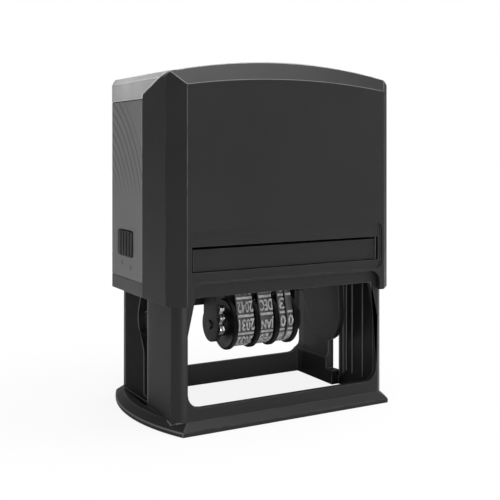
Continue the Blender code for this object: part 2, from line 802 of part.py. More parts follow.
def view_outline():
    """The front and rear window of the frame, its top corners braced."""
    outline = [
        (-VIEW_HALF_WIDTH, VIEW_LOW),
        (VIEW_HALF_WIDTH, VIEW_LOW),
        (VIEW_HALF_WIDTH, VIEW_SLANT_LOW),
        (VIEW_TOP_HALF_WIDTH, VIEW_HIGH),
        (-VIEW_TOP_HALF_WIDTH, VIEW_HIGH),
        (-VIEW_HALF_WIDTH, VIEW_SLANT_LOW),
    ]
    return rounded(outline, VIEW_RADIUS, (0, 1))


def base_frame(look):
    rings = [
        flange_ring(0, 0),
        flange_ring(FLANGE_EDGE, 0),
        flange_ring(FLANGE_TOP, FLANGE_SLOPE),
    ]
    frame = stack(rings, "base_frame")
    frame = join(frame, prism(frame_outline(), "z", 0, FRAME_TOP))
    deep = FRAME_INNER_HALF_DEPTH
    inner = FRAME_INNER_HALF_WIDTH
    frame = cut(
        frame,
        prism(frame_hollow(), "z", -OVERCUT, FRAME_BOX_LOW),
        block((-inner, -deep, VIEW_HIGH), (inner, deep, DECK_LOW)),
        prism(view_outline(), "y", -FRAME_HALF_DEPTH - OVERCUT, FRAME_HALF_DEPTH + OVERCUT),
    )
    ledges = []
    for side in (-1, 1):
        near, far = side * LEDGE_HALF_WIDTH, side * (inner + FRAME_WALL / 2)
        ledges.append(
            block((min(near, far), -deep, LEDGE_LOW), (max(near, far), deep, LEDGE_HIGH))
        )
    frame = join(frame, *ledges)
    reach = FRAME_HALF_WIDTH + OVERCUT
    slot_x = TRAY_STRIP_HALF_WIDTH + SLOT_GAP
    frame = cut(
        frame,
        side_block(cam_outline(), 1, LEDGE_HALF_WIDTH - OVERCUT, reach),
        side_block(cam_outline(), -1, LEDGE_HALF_WIDTH - OVERCUT, reach),
        block(
            (-slot_x, -FRAME_HALF_DEPTH - OVERCUT, LEDGE_HIGH),
            (slot_x, -deep + FITTED_GAP, TRAY_HIGH + SLOT_GAP),
        ),
    )
    pockets = []
    for side in (-1, 1):
        near = FRAME_REAR_HALF_WIDTH - POCKET_DEPTH
        pockets.append(side_block(lock_outline(2 * LOCK_CLEARANCE), side, near, reach))
    frame = cut(frame, *pockets)
    studs = []
    for side in (-1, 1):
        far = FRAME_REAR_HALF_WIDTH + STUD_PROUD
        outline = circle((STUD_BACK, STUD_HEIGHT), STUD_RADIUS, SMALL_ROUND_STEPS)
        studs.append(side_block(outline, side, FRAME_INNER_HALF_WIDTH + FRAME_WALL / 2, far))
        centre = (side * SPRING_X, 0)
        top = FRAME_TOP + SPRING_SEAT_HEIGHT
        base = FRAME_TOP - DECK_THICKNESS / 2
        studs.append(rod("z", centre, SPRING_SEAT_RADIUS, base, top, SMALL_ROUND_STEPS))
    return named(join(frame, *studs), "base_frame", look)


# Ink pad


def ink_pad_tray(look):
    half = TRAY_HALF_WIDTH
    overlap = TRAY_WALL / 2
    tray = block((-half, -TRAY_STRIP_BACK - overlap, TRAY_LOW), (half, TRAY_BACK, TRAY_HIGH))
    strip_x = TRAY_STRIP_HALF_WIDTH
    strip = block((-strip_x, -TRAY_FRONT, TRAY_LOW), (strip_x, -TRAY_STRIP_BACK, TRAY_HIGH))
    tray = join(tray, strip)
    room = block(
        (-half + TRAY_WALL, -TRAY_STRIP_BACK + TRAY_WALL, TRAY_LOW - OVERCUT),
        (half - TRAY_WALL, TRAY_BACK - TRAY_WALL, TRAY_HIGH - TRAY_ROOF),
    )
    return named(cut(tray, room), "ink_pad_tray", look, (0, -TRAY_FRONT, TRAY_LOW))


def ink_pad_felt(look):
    half = TRAY_HALF_WIDTH - TRAY_WALL - FELT_GAP
    front = -TRAY_STRIP_BACK + TRAY_WALL + FELT_GAP
    back = TRAY_BACK - TRAY_WALL - FELT_GAP
    top = TRAY_HIGH - TRAY_ROOF - FELT_GAP
    rings = []
    for height, inset in ((FELT_LOW, FELT_RIM), (FELT_LOW + FELT_RIM, 0), (top, 0)):
        outline = rectangle((-half + inset, front + inset), (half - inset, back - inset))
        rings.append([(x, y, height) for x, y in outline])
    return named(stack(rings), "ink_pad_felt", look, (0, 0, FELT_LOW))


# Type carrier


def end_plate_outline():
    """The carrier's end plate: an eye at the axle, a lobe below it, a heel and a lug on top."""
    lobe = circle((0, SHAFT_HEIGHT), LOBE_RADIUS)
    eye = circle((0, AXLE_HEIGHT), AXLE_EYE_RADIUS)
    lug = [
        (-CARRIER_LUG_HALF_DEPTH, AXLE_HEIGHT),
        (CARRIER_LUG_HALF_DEPTH, AXLE_HEIGHT),
        (CARRIER_LUG_HALF_DEPTH, CARRIER_LUG_TOP),
        (-CARRIER_LUG_HALF_DEPTH, CARRIER_LUG_TOP),
    ]
    heel_high = AXLE_HEIGHT - HEEL_UNDER_AXLE
    heel = [(HEEL_DEPTH, heel_high), (HEEL_DEPTH, heel_high - HEEL_LENGTH)]
    return hull_outline(lobe + eye + lug + heel)


def type_carrier(look):
    deck = block(
        (-END_PLATE_OUTER, -CARRIER_HALF_DEPTH, CARRIER_TOP - CARRIER_DECK),
        (END_PLATE_OUTER, CARRIER_HALF_DEPTH, CARRIER_TOP),
    )
    eye = circle((0, AXLE_HEIGHT), AXLE_RADIUS + AXLE_CLEARANCE)
    skirt = block(
        (BACK_SKIRT_LEFT, BACK_SKIRT_NEAR, BACK_SKIRT_LOW),
        (CHEEK_OUTER, BACK_SKIRT_FAR, CARRIER_TOP - CARRIER_DECK / 2),
    )
    plates = []
    holes = []
    for side in (-1, 1):
        plates.append(side_block(end_plate_outline(), side, END_PLATE_INNER, END_PLATE_OUTER))
        near = END_PLATE_INNER - 2 * OVERCUT
        far = END_PLATE_OUTER + OVERCUT
        holes.append(side_block(eye, side, near, far))
    opening = block(
        (-CARRIER_OPENING_X, -CARRIER_OPENING_Y, AXLE_HEIGHT - OVERCUT),
        (CARRIER_OPENING_X, CARRIER_OPENING_Y, CARRIER_LUG_TOP),
    )
    carrier = join(cut(join(deck, *plates), opening, *holes), skirt)
    return named(carrier, "type_carrier", look, (0, 0, AXLE_HEIGHT))


def type_plate(look):
    low = CARRIER_TOP + TYPE_GAP
    half = TYPE_HALF_WIDTH
    plate = block((-half, -TYPE_HALF_DEPTH, low), (half, TYPE_HALF_DEPTH, low + TYPE_PLATE))
    opening = block(
        (-DIE_OPENING_X, -DIE_OPENING_Y, low - OVERCUT),
        (DIE_OPENING_X, DIE_OPENING_Y, low + 2 * OVERCUT),
    )
    return named(cut(plate, opening), "type_plate", look, (0, 0, low))


def text_die(look):
    """The rubber die: a raised border and bare raised lines above and below the date."""
    low = CARRIER_TOP + 2 * TYPE_GAP + TYPE_PLATE
    base = low + DIE_BASE
    half_x, half_y = DIE_HALF_WIDTH, DIE_HALF_DEPTH
    die = block((-half_x, -half_y, low), (half_x, half_y, DIE_FACE))
    inner_x, inner_y = half_x - DIE_BORDER, half_y - DIE_BORDER
    rim_x, rim_y = DIE_OPENING_X + DIE_BORDER, DIE_OPENING_Y + DIE_BORDER
    field = block((-inner_x, -inner_y, base), (inner_x, inner_y, DIE_FACE + OVERCUT))
    frame = block((-rim_x, -rim_y, base - OVERCUT / 2), (rim_x, rim_y, DIE_FACE + 2 * OVERCUT))
    field = cut(field, frame)
    lines = []
    for side in (-1, 1):
        for row, share in zip(DIE_ROWS, DIE_ROW_SHARES):
            y = side * row
            x = inner_x * share
            lines.append(
                block(
                    (-x, y - DIE_LINE_HALF, base - OVERCUT / 2),
                    (x, y + DIE_LINE_HALF, DIE_FACE + 2 * OVERCUT),
                )
            )
    field = cut(field, *lines)
    opening = block(
        (-DIE_OPENING_X, -DIE_OPENING_Y, low - OVERCUT),
        (DIE_OPENING_X, DIE_OPENING_Y, DIE_FACE + OVERCUT),
    )
    return named(cut(die, field, opening), "text_die", look, (0, 0, low))


# Date unit


def wheel_shaft(look):
    outline = circle((0, SHAFT_HEIGHT), SHAFT_RADIUS, SMALL_ROUND_STEPS)
    shaft = prism(outline, "x", -LEFT_CHEEK_OUTER - SHAFT_END, CHEEK_OUTER + SHAFT_END)
    return named(shaft, "wheel_shaft", look, (0, 0, SHAFT_HEIGHT), smooth=True)


def notched_outline():
    """The thumb disc's edge with its small notches."""
    points = []
    step = math.tau / DISC_NOTCHES
    profile = (
        (0, 0),
        (NOTCH_START_SHARE, 0),
        (NOTCH_FLOOR_SHARE, DISC_NOTCH_DEPTH),
        (NOTCH_END_SHARE, DISC_NOTCH_DEPTH),
    )
    for i in range(DISC_NOTCHES):
        start = i * step
        for share, depth in profile:
            angle = start + step * share
            radius = DISC_RADIUS - depth
            points.append((radius * math.cos(angle), SHAFT_HEIGHT + radius * math.sin(angle)))
    return points


def setting_wheel(name, look, disc, drum, hub=None):
    """A thumb disc and its drum on the shaft; disc, drum and hub are (low, high) along X."""
    wheel = prism(notched_outline(), "x", *disc)
    centre = (0, SHAFT_HEIGHT)
    wheel = join(wheel, rod("x", centre, DRUM_RADIUS, *drum))
    if hub:
        wheel = join(wheel, rod("x", centre, HUB_RADIUS, *hub))
        ring = (disc[0] - HUB_RING_WIDTH, disc[0] + WHEEL_GAP)
        wheel = join(wheel, rod("x", centre, HUB_RING_RADIUS, *ring))
    bore = rod("x", centre, SHAFT_RADIUS + SHAFT_CLEARANCE, -CHEEK_OUTER, CHEEK_OUTER, SMALL_ROUND_STEPS)
    return named(cut(wheel, bore), name, look, (disc[0], *centre))


def band_loop(grow):
    """The closed way round the drum and the anvil, moved outwards by grow."""
    drum = circle((0, SHAFT_HEIGHT), DRUM_RADIUS + BAND_CLEARANCE + grow, ROUND_STEPS)
    radius = ANVIL_RADIUS + BAND_CLEARANCE + grow
    flat = ANVIL_HALF_DEPTH - ANVIL_RADIUS
    tops = []
    for side in (-1, 1):
        tops += circle((side * flat, ANVIL_HEIGHT), radius, SMALL_ROUND_STEPS)
    return hull_outline(drum + tops)


def walk(outline):
    """The straight runs of a closed outline: start, end and length."""
    runs = []
    count = len(outline)
    for i in range(count):
        a, b = Vector(outline[i]), Vector(outline[(i + 1) % count])
        runs.append((a, b, (b - a).length))
    return runs


def band_with_relief():
    """The loop's outside with raised steps, one for each character on the band."""
    outline = band_loop(BAND_THICKNESS)
    runs = walk(outline)
    total = sum(s[2] for s in runs)
    number = int(total / BAND_PITCH)
    pitch = total / number
    raised = BAND_CHARACTER / BAND_PITCH
    edges = []
    for i in range(number):
        edges += [i * pitch, i * pitch + pitch * raised]
    lengths = []
    run = 0.0
    for a, b, size in runs:
        lengths.append(run)
        run += size
    stations = sorted(set(edges + lengths))

    def at(distance):
        for (a, b, size), start in zip(runs, lengths):
            if distance <= start + size:
                share = (distance - start) / size
                way = (b - a).normalized()
                return a + (b - a) * share, Vector((way.y, -way.x))
        a, b, size = runs[-1]
        way = (b - a).normalized()
        return b, Vector((way.y, -way.x))

    def is_raised(distance):
        return (distance % pitch) < pitch * raised

    points = []
    tiny = pitch * STATION_SHARE
    for d in stations:
        place_here, out = at(d)
        before, after = is_raised((d - tiny) % total), is_raised((d + tiny) % total)
        for up in (before, after) if before != after else (before,):
            p = place_here + out * (BAND_RELIEF if up else 0)
            points.append((p.x, p.y))
    return points


def date_band(name, look, low, high):
    band = prism(band_with_relief(), "x", low, high)
    hole = prism(band_loop(0), "x", low - OVERCUT, high + OVERCUT)
    return named(cut(band, hole), name, look, (low, 0, SHAFT_HEIGHT))


def band_cheek(side, name, look):
    """One side of the date unit's frame: a lobe round the shaft, a neck and a wide top."""
    inner, outer = (CHEEK_INNER, CHEEK_OUTER) if side > 0 else (LEFT_CHEEK_INNER, LEFT_CHEEK_OUTER)
    centre = (0, SHAFT_HEIGHT)
    neck = rectangle((-CHEEK_NECK_HALF_DEPTH, SHAFT_HEIGHT), (CHEEK_NECK_HALF_DEPTH, CHEEK_TOP))
    top = rectangle((-CHEEK_TOP_HALF_DEPTH, CHEEK_WAIST_HEIGHT), (CHEEK_TOP_HALF_DEPTH, CHEEK_TOP))
    cheek = side_block(circle(centre, CHEEK_BOTTOM_RADIUS), side, inner, outer)
    cheek = join(cheek, side_block(neck, side, inner, outer), side_block(top, side, inner, outer))
    bore = circle(centre, SHAFT_RADIUS + SHAFT_CLEARANCE, SMALL_ROUND_STEPS)
    hole = side_block(bore, side, inner - OVERCUT, outer + OVERCUT)
    return named(cut(cheek, hole), name, look, (side * outer, 0, SHAFT_HEIGHT))


def band_anvil(look):
    """The bar under the printing face of the bands."""
    flat = ANVIL_HALF_DEPTH - ANVIL_RADIUS
    top = circle((-flat, ANVIL_HEIGHT), ANVIL_RADIUS, SMALL_ROUND_STEPS)
    top += circle((flat, ANVIL_HEIGHT), ANVIL_RADIUS, SMALL_ROUND_STEPS)
    foot = [
        (-ANVIL_HALF_DEPTH, ANVIL_HEIGHT - ANVIL_FOOT),
        (ANVIL_HALF_DEPTH, ANVIL_HEIGHT - ANVIL_FOOT),
    ]
    bar = prism(hull_outline(top + foot), "x", SIDE_PLAY - LEFT_CHEEK_INNER, CHEEK_INNER - SIDE_PLAY)
    return named(bar, "band_anvil", look, (0, 0, ANVIL_HEIGHT))


def detent_clip(look):
    """A bent strip of spring steel on the front edge of the left cheek."""
    left, right = CLIP_X - CLIP_WIDTH / 2, CLIP_X + CLIP_WIDTH / 2
    front = -CLIP_FRONT
    middle = (CLIP_LOW + CLIP_HIGH) / 2
    path = [
        (front - CLIP_BEND, CLIP_LOW),
        (front, CLIP_LOW + CLIP_BEND),
        (front + CLIP_BEND / 2, middle),
        (front, CLIP_HIGH - CLIP_BEND),
        (front - CLIP_BEND, CLIP_HIGH),
    ]
    near = [(y - CLIP_THICKNESS / 2, z) for y, z in path]
    far = [(y + CLIP_THICKNESS / 2, z) for y, z in reversed(path)]
    clip = prism(near + far, "x", left, right)
    return named(clip, "detent_clip", look, (CLIP_X, front, middle))


# Return springs


def spring(side, name, look):
    """A wound wire with straight ends square to its two seats."""
    low = FRAME_TOP + FITTED_GAP
    high = SPRING_CUP_LOW - FITTED_GAP
    leg = 2 * SPRING_WIRE
    steps = SPRING_TURNS * SPRING_POINTS
    wound = high - low - 2 * leg - 2 * SPRING_WIRE
    start = low + leg + SPRING_WIRE
    path = [Vector((SPRING_RADIUS, 0, low)), Vector((SPRING_RADIUS, 0, low + leg / 2))]
    for i in range(steps + 1):
        share = i / steps
        angle = math.tau * SPRING_TURNS * share
        height = start + wound * share
        path.append(
            Vector((SPRING_RADIUS * math.cos(angle), SPRING_RADIUS * math.sin(angle), height))
        )
    path.append(Vector((SPRING_RADIUS, 0, high - leg / 2)))
    path.append(Vector((SPRING_RADIUS, 0, high)))
    shift = Vector((side * SPRING_X, 0, 0))
    rings = []
    count = len(path)
    for i, p in enumerate(path):
        if i < 1 or i > count - 2:
            way = Vector((0, 0, 1))
        else:
            way = (path[i + 1] - path[i - 1]).normalized()
        outward = Vector((p.x, p.y, 0)).normalized()
        across_way = way.cross(outward).normalized()
        outward = across_way.cross(way).normalized()
        ring = []
        for k in range(SPRING_SIDES):
            angle = math.tau * k / SPRING_SIDES
            reach = outward * math.cos(angle) + across_way * math.sin(angle)
            ring.append(p + shift + reach * SPRING_WIRE)
        rings.append(ring)
    pitch = wound / SPRING_TURNS
    print(f"{name}: gap between curls {1000 * (pitch - 2 * SPRING_WIRE):.2f} mm")
    wire = stack(rings)
    return named(wire, name, look, (side * SPRING_X, 0, low), smooth=True)


def build():
    clear_scene()
    black = material("black_abs", (0.035, 0.035, 0.037), 0.42)
    dark = material("dark_frame_abs", (0.028, 0.028, 0.03), 0.45)
    grey = material("grey_side_abs", (0.11, 0.11, 0.115), 0.5)
    clear = material("clear_acrylic", (0.85, 0.87, 0.88), 0.12, transmission=0.9)
    paper = material("card_paper", (0.8, 0.79, 0.76), 0.85)
    yoke_look = material("yoke_abs", (0.06, 0.06, 0.065), 0.5)
    tray_look = material("cartridge_abs", (0.035, 0.035, 0.036), 0.4)
    felt = material("ink_felt", (0.02, 0.02, 0.03), 0.95)
    steel = material("steel", (0.62, 0.62, 0.63), 0.28, 1.0)
    spring_steel = material("spring_steel", (0.55, 0.55, 0.56), 0.25, 1.0)
    carrier_look = material("carrier_abs", (0.03, 0.03, 0.031), 0.45)
    plate_look = material("type_plate_abs", (0.3, 0.3, 0.31), 0.5)
    die_rubber = material("die_rubber", (0.22, 0.05, 0.04), 0.7)
    band_rubber = material("band_rubber", (0.09, 0.09, 0.092), 0.65)
    wheel_look = material("wheel_abs", (0.02, 0.02, 0.021), 0.35)

    base_frame(dark)
    ink_pad_tray(tray_look)
    ink_pad_felt(felt)
    front_cover(black)
    rear_cover(black)
    side_panel(-1, "side_panel_left", grey)
    side_panel(1, "side_panel_right", grey)
    lock_button(-1, "lock_button_left", wheel_look)
    lock_button(1, "lock_button_right", wheel_look)
    index_window(clear)
    index_card(paper)
    inner_yoke(yoke_look)
    axle(-1, "axle_left", steel)
    axle(1, "axle_right", steel)
    spring(-1, "return_spring_left", spring_steel)
    spring(1, "return_spring_right", spring_steel)
    type_carrier(carrier_look)
    type_plate(plate_look)
    text_die(die_rubber)
    wheel_shaft(steel)
    band_cheek(-1, "band_cheek_left", carrier_look)
    band_cheek(1, "band_cheek_right", carrier_look)
    band_anvil(carrier_look)
    detent_clip(spring_steel)

    left = YEAR_DISC_LEFT
    disc_width = DISC_WIDTH
    year_drum = left + disc_width
    year_end = year_drum + YEAR_BAND_WIDTH + WHEEL_GAP
    month_left = year_end + WHEEL_GAP
    month_drum = month_left + disc_width
    month_end = month_drum + MONTH_BAND_WIDTH + WHEEL_GAP
    tens_left = month_end + WHEEL_GAP
    tens_drum = tens_left + disc_width
    tens_end = tens_drum + DAY_BAND_WIDTH + WHEEL_GAP
    units_left = tens_end + WHEEL_GAP
    units_end = units_left + DAY_BAND_WIDTH + WHEEL_GAP
    overlap = WHEEL_GAP
    setting_wheel(
        "year_wheel",
        wheel_look,
        (left, year_drum),
        (year_drum - overlap, year_end),
        (-LEFT_CHEEK_INNER + SIDE_PLAY, left + overlap),
    )
    setting_wheel("month_wheel", wheel_look, (month_left, month_drum), (month_drum - overlap, month_end))
    setting_wheel("day_tens_wheel", wheel_look, (tens_left, tens_drum), (tens_drum - overlap, tens_end))
    setting_wheel(
        "day_units_wheel",
        wheel_look,
        (units_end, units_end + disc_width),
        (units_left, units_end + overlap),
    )
    date_band("year_band", band_rubber, year_drum + WHEEL_GAP, year_drum + YEAR_BAND_WIDTH)
    date_band("month_band", band_rubber, month_drum + WHEEL_GAP, month_drum + MONTH_BAND_WIDTH)
    date_band("day_tens_band", band_rubber, tens_drum + WHEEL_GAP, tens_drum + DAY_BAND_WIDTH)
    date_band(
        "day_units_band", band_rubber, units_end - DAY_BAND_WIDTH, units_end - WHEEL_GAP
    )
    print(f"last disc ends at {1000 * (units_end + disc_width):.2f} mm")


build()
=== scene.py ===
import json
import math

import bmesh
import bpy
from mathutils import Matrix, Vector
from mathutils.bvhtree import BVHTree


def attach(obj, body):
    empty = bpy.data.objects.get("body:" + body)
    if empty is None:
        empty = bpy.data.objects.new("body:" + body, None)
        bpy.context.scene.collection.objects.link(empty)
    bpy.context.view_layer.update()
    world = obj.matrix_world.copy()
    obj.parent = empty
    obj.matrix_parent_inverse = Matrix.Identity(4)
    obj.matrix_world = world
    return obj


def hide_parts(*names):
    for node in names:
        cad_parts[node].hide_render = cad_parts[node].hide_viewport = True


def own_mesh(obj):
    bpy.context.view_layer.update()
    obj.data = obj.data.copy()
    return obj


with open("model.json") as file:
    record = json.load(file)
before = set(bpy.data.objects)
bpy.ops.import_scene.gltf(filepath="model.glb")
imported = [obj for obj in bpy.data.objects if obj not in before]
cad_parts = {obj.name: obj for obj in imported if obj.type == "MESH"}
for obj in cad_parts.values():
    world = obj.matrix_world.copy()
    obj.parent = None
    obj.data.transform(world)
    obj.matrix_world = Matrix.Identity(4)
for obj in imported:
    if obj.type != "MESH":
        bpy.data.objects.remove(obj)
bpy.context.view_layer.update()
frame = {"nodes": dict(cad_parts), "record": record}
body_of = {}
for body, nodes in frame["record"]["behaviour"]["bodies"].items():
    for node_name in nodes:
        body_of[node_name] = body

# Sizes that the pieces share with the solids, in metres
SHAFT_HEIGHT = 0.027
SHAFT_BORE = 0.00165
DRUM_RADIUS = 0.0066
DISC_RADIUS = 0.009
BAND_INSIDE = 0.0069
BAND_THICKNESS = 0.0009
ANVIL_HEIGHT = 0.0452
ANVIL_END = 0.0013
ANVIL_RADIUS = 0.0014
SPRING_X = 0.022
SPRING_RADIUS = 0.0042
SPRING_WIRE = 0.0006
SPRING_LOW = 0.0597
SPRING_HIGH = 0.1034
HUB_RADIUS = 0.0042

# Left end, disc from and to, right end, and the radii on both sides of the disc
WHEELS = (
    ("year_wheel", (-0.01335, -0.0106, -0.0089, -0.0021), (HUB_RADIUS, DRUM_RADIUS)),
    ("month_wheel", (-0.0019, -0.0019, -0.0002, 0.0055), (HUB_RADIUS, DRUM_RADIUS)),
    ("day_tens_wheel", (0.0057, 0.0057, 0.0074, 0.0103), (HUB_RADIUS, DRUM_RADIUS)),
    ("day_units_wheel", (0.0105, 0.0134, 0.0151, 0.0151), (DRUM_RADIUS, HUB_RADIUS)),
)
MONTHS = ["JAN", "FEB", "MAR", "APR", "MAY", "JUN", "JUL", "AUG", "SEP", "OCT", "NOV", "DEC"]
FIRST_YEAR = 2031

# Left and right side, and the rows of text
BANDS = (
    ("year_band", -0.0087, -0.0023, [str(FIRST_YEAR + i) for i in range(12)]),
    ("month_band", 0.0, 0.0053, MONTHS),
    ("day_tens_band", 0.0076, 0.0101, ["0", "1", "2", "3"] * 3),
    ("day_units_band", 0.0107, 0.0132, [str(i) for i in range(10)] + ["", ""]),
)

# Sizes of the fine forms, in metres
SLIVER = 0.0001
NEAR = 0.0001
WELD = 0.000003
LETTER_WELD = 0.00001
EASE_ROOM = 1.7  # least breadth of a face beside an eased edge, over the easing's width
EASE_STRAY = 1.5  # how far an eased edge may leave the old skin, over the same width
NARROW_SHARE = 0.3
LEG_CORNERS = ((0.0360, -0.0256), (0.0396, -0.0220))
LEG_RIB_SIZE = (0.0009, 0.0007, 0.033)
LEG_BLOCKS = (
    ((0.0376, -0.0052, 0.0225), LEG_RIB_SIZE),
    ((0.0376, -0.0088, 0.0225), LEG_RIB_SIZE),
    ((0.0376, -0.0150, 0.0225), LEG_RIB_SIZE),
    ((0.0359, 0.0070, 0.0286), (0.0005, 0.0045, 0.0066)),
    ((0.03665, -0.00315, 0.0213), (0.0021, 0.0007, 0.0354)),
)
WHEEL_TEETH = 104
TOOTH_DEPTH = 0.00028
HUB_CHAMFER = 0.0002
DISH_DEPTH = 0.00015
DISH_RADII = (0.0005, 0.0009)  # over the hub
RIM_RADII = (0.0074, 0.0078, 0.0083)
RIM_SLOPE = ((0.0002, 0.0088, 0.0002), (0.00035, DISC_RADIUS, TOOTH_DEPTH))
BAND_SINK = 0.00012
BAND_MARGIN = 0.0002
BAND_START = 0.25
BAND_CHAMFER = 0.00015
BAND_STEPS = 150
LETTER_BOLD = 0.018
LETTER_STRIPS = 5
ROW_HEIGHT = 0.0039
ROW_RELIEF = 0.00034
BAR_WIDTH = 0.0008
BAR_RELIEF = 0.00016
CLIP_LEFT = -0.0153
CLIP_RIGHT = -0.0137
CLIP_FORWARD = 0.0003
CLIP_THICKNESS = 0.0003
CLIP_EASE = 0.00006
CLIP_FOLD = (
    (-0.0057, 0.0247), (-0.0066, 0.0250), (-0.0073, 0.0262), (-0.0068, 0.0276),
    (-0.0060, 0.0283), (-0.0069, 0.0291), (-0.0074, 0.0302), (-0.0069, 0.0312),
    (-0.0061, 0.0318), (-0.0068, 0.0325), (-0.0071, 0.0336), (-0.0058, 0.0343),
)
SIDE_MARKS = ((0.0131, 0.0484), (0.0054, 0.0476))
STRIP_BACK = -0.0236
STRIP_MIDDLE = 0.053
STRIP_END = 0.034
STRIP_DROP_LOW = 0.00022
STRIP_DROP_HIGH = 0.0005
STRIP_NARROW = 0.0004
SPRING_TREE = {"Turns": 8.0, "Points": 300, "Foot": 0.07}

# Angles in degrees from which an edge counts as one, or stays crisp
FLAT = 0.5
CORNER = 28.0
CRISP = 50
CRISP_TOOTH = 35
CRISP_LETTER = 40

# Where a tint, a painted highlight or a painted shade begins and is full, in metres
CREST = (0.1, 0.104)
JUNCTION_FROM = (0.0032, 0.0036)
JUNCTION_TO = (0.0048, 0.006)
BEHIND_LEGS = (-0.0028, -0.0026)
OUTER_WALL = (0.0366, 0.0372)
OVER_FLANGE = (0.0036, 0.0042)
LEG_EDGE_FROM = (-0.0044, -0.0036)
LEG_EDGE_TO = (-0.0027, -0.0026)
REAR_EDGE = (0.0198, 0.0208)
# from this height up the frame's edges get a painted highlight
LIT_EDGES_ABOVE = (0.0042, 0.0052)
FLANGE_TOP = (0.0038, 0.0044)
REAR_BAR_FROM = (0.0200, 0.0210)
REAR_BAR_TO = (0.0250, 0.0254)
PANEL_RIM = (0.0431, 0.0435)
PANEL_RISE = (0.045, 0.1)
ARC_CENTRE = (0.0, 0.052, 0.052)
ARC_TURNS = 2100.0  # radians of the wave per metre
ARCS_ABOVE = (0.066, 0.08)
ARCS_WITHIN = (0.062, 0.068)

# Camera and floor, and each lamp's place, aim, size in metres and power in watts
CAMERA_PLACE = (-0.15074, -0.27029, 0.08734)
CAMERA_TURN = -29.18
CAMERA_LENS = 63.94
CAMERA_SENSOR = 36.0
CAMERA_SHIFT = -0.2057
AMBIENT = 0.3
LAMPS = (
    ("overhead softbox", (0.1, -0.1, 0.7), (0, 0, 0.05), (0.6, 0.5), 3.4),
    ("front fill", (-0.25, -0.75, 0.12), (0, 0, 0.03), (0.3, 0.2), 2.8),
    ("right softbox", (0.6, -0.35, 0.3), (0, 0, 0.06), (0.4, 0.5), 1.1),
)
FLOOR_REACH = 3.0
FLOOR_FADE = (0.06, 0.3)  # from the middle, in metres
FLOOR_GLOW = 1.04
FLOOR_GLOW_SHARE = 0.84  # in the middle
WHITE = (1.0, 1.0, 1.0, 1.0)

# Reflection level of the dark plastics
SATIN = 0.3


# Finishes

class Value:
    """A number in a node tree that takes part in sums."""

    def __init__(self, nodes, socket):
        self.nodes = nodes
        self.socket = socket

    def joined(self, operation, left, right=0.0, clamp=False):
        settings = {"operation": operation, "use_clamp": clamp}
        return self.nodes.node("ShaderNodeMath", settings, {0: left, 1: right}).value("Value")

    def __add__(self, other):
        return self.joined("ADD", self, other)

    def __sub__(self, other):
        return self.joined("SUBTRACT", self, other)

    def __rsub__(self, other):
        return self.joined("SUBTRACT", other, self)

    def __mul__(self, other):
        return self.joined("MULTIPLY", self, other)

    __radd__ = __add__
    __rmul__ = __mul__

    def larger(self, other):
        return self.joined("MAXIMUM", self, other)

    def size(self):
        """The number without its sign."""
        return self.joined("ABSOLUTE", self)

    def sine(self):
        return self.joined("SINE", self)

    def limited(self):
        return self.joined("ADD", self, 0.0, clamp=True)

    def step(self, low, high):
        """0 below low, 1 above high, smooth between."""
        settings = {"interpolation_type": "SMOOTHSTEP"}
        inputs = {"Value": self, "From Min": low, "From Max": high}
        return self.nodes.node("ShaderNodeMapRange", settings, inputs).value("Result")


class Made:
    """A node whose outputs are read as values."""

    def __init__(self, nodes, node):
        self.nodes = nodes
        self.node = node

    def value(self, name):
        return Value(self.nodes, self.node.outputs[name])


class Nodes:
    """The nodes of a material or of the world, added one by one to an empty tree."""

    def __init__(self, owner):
        owner.use_nodes = True
        self.tree = owner.node_tree
        self.tree.nodes.clear()

    def node(self, kind, settings=None, inputs=None):
        made = self.tree.nodes.new(kind)
        for key, value in (settings or {}).items():
            setattr(made, key, value)
        for key, value in (inputs or {}).items():
            self.feed(made.inputs[key], value)
        return Made(self, made)

    def feed(self, socket, value):
        if isinstance(value, Value):
            self.tree.links.new(value.socket, socket)
        else:
            socket.default_value = value


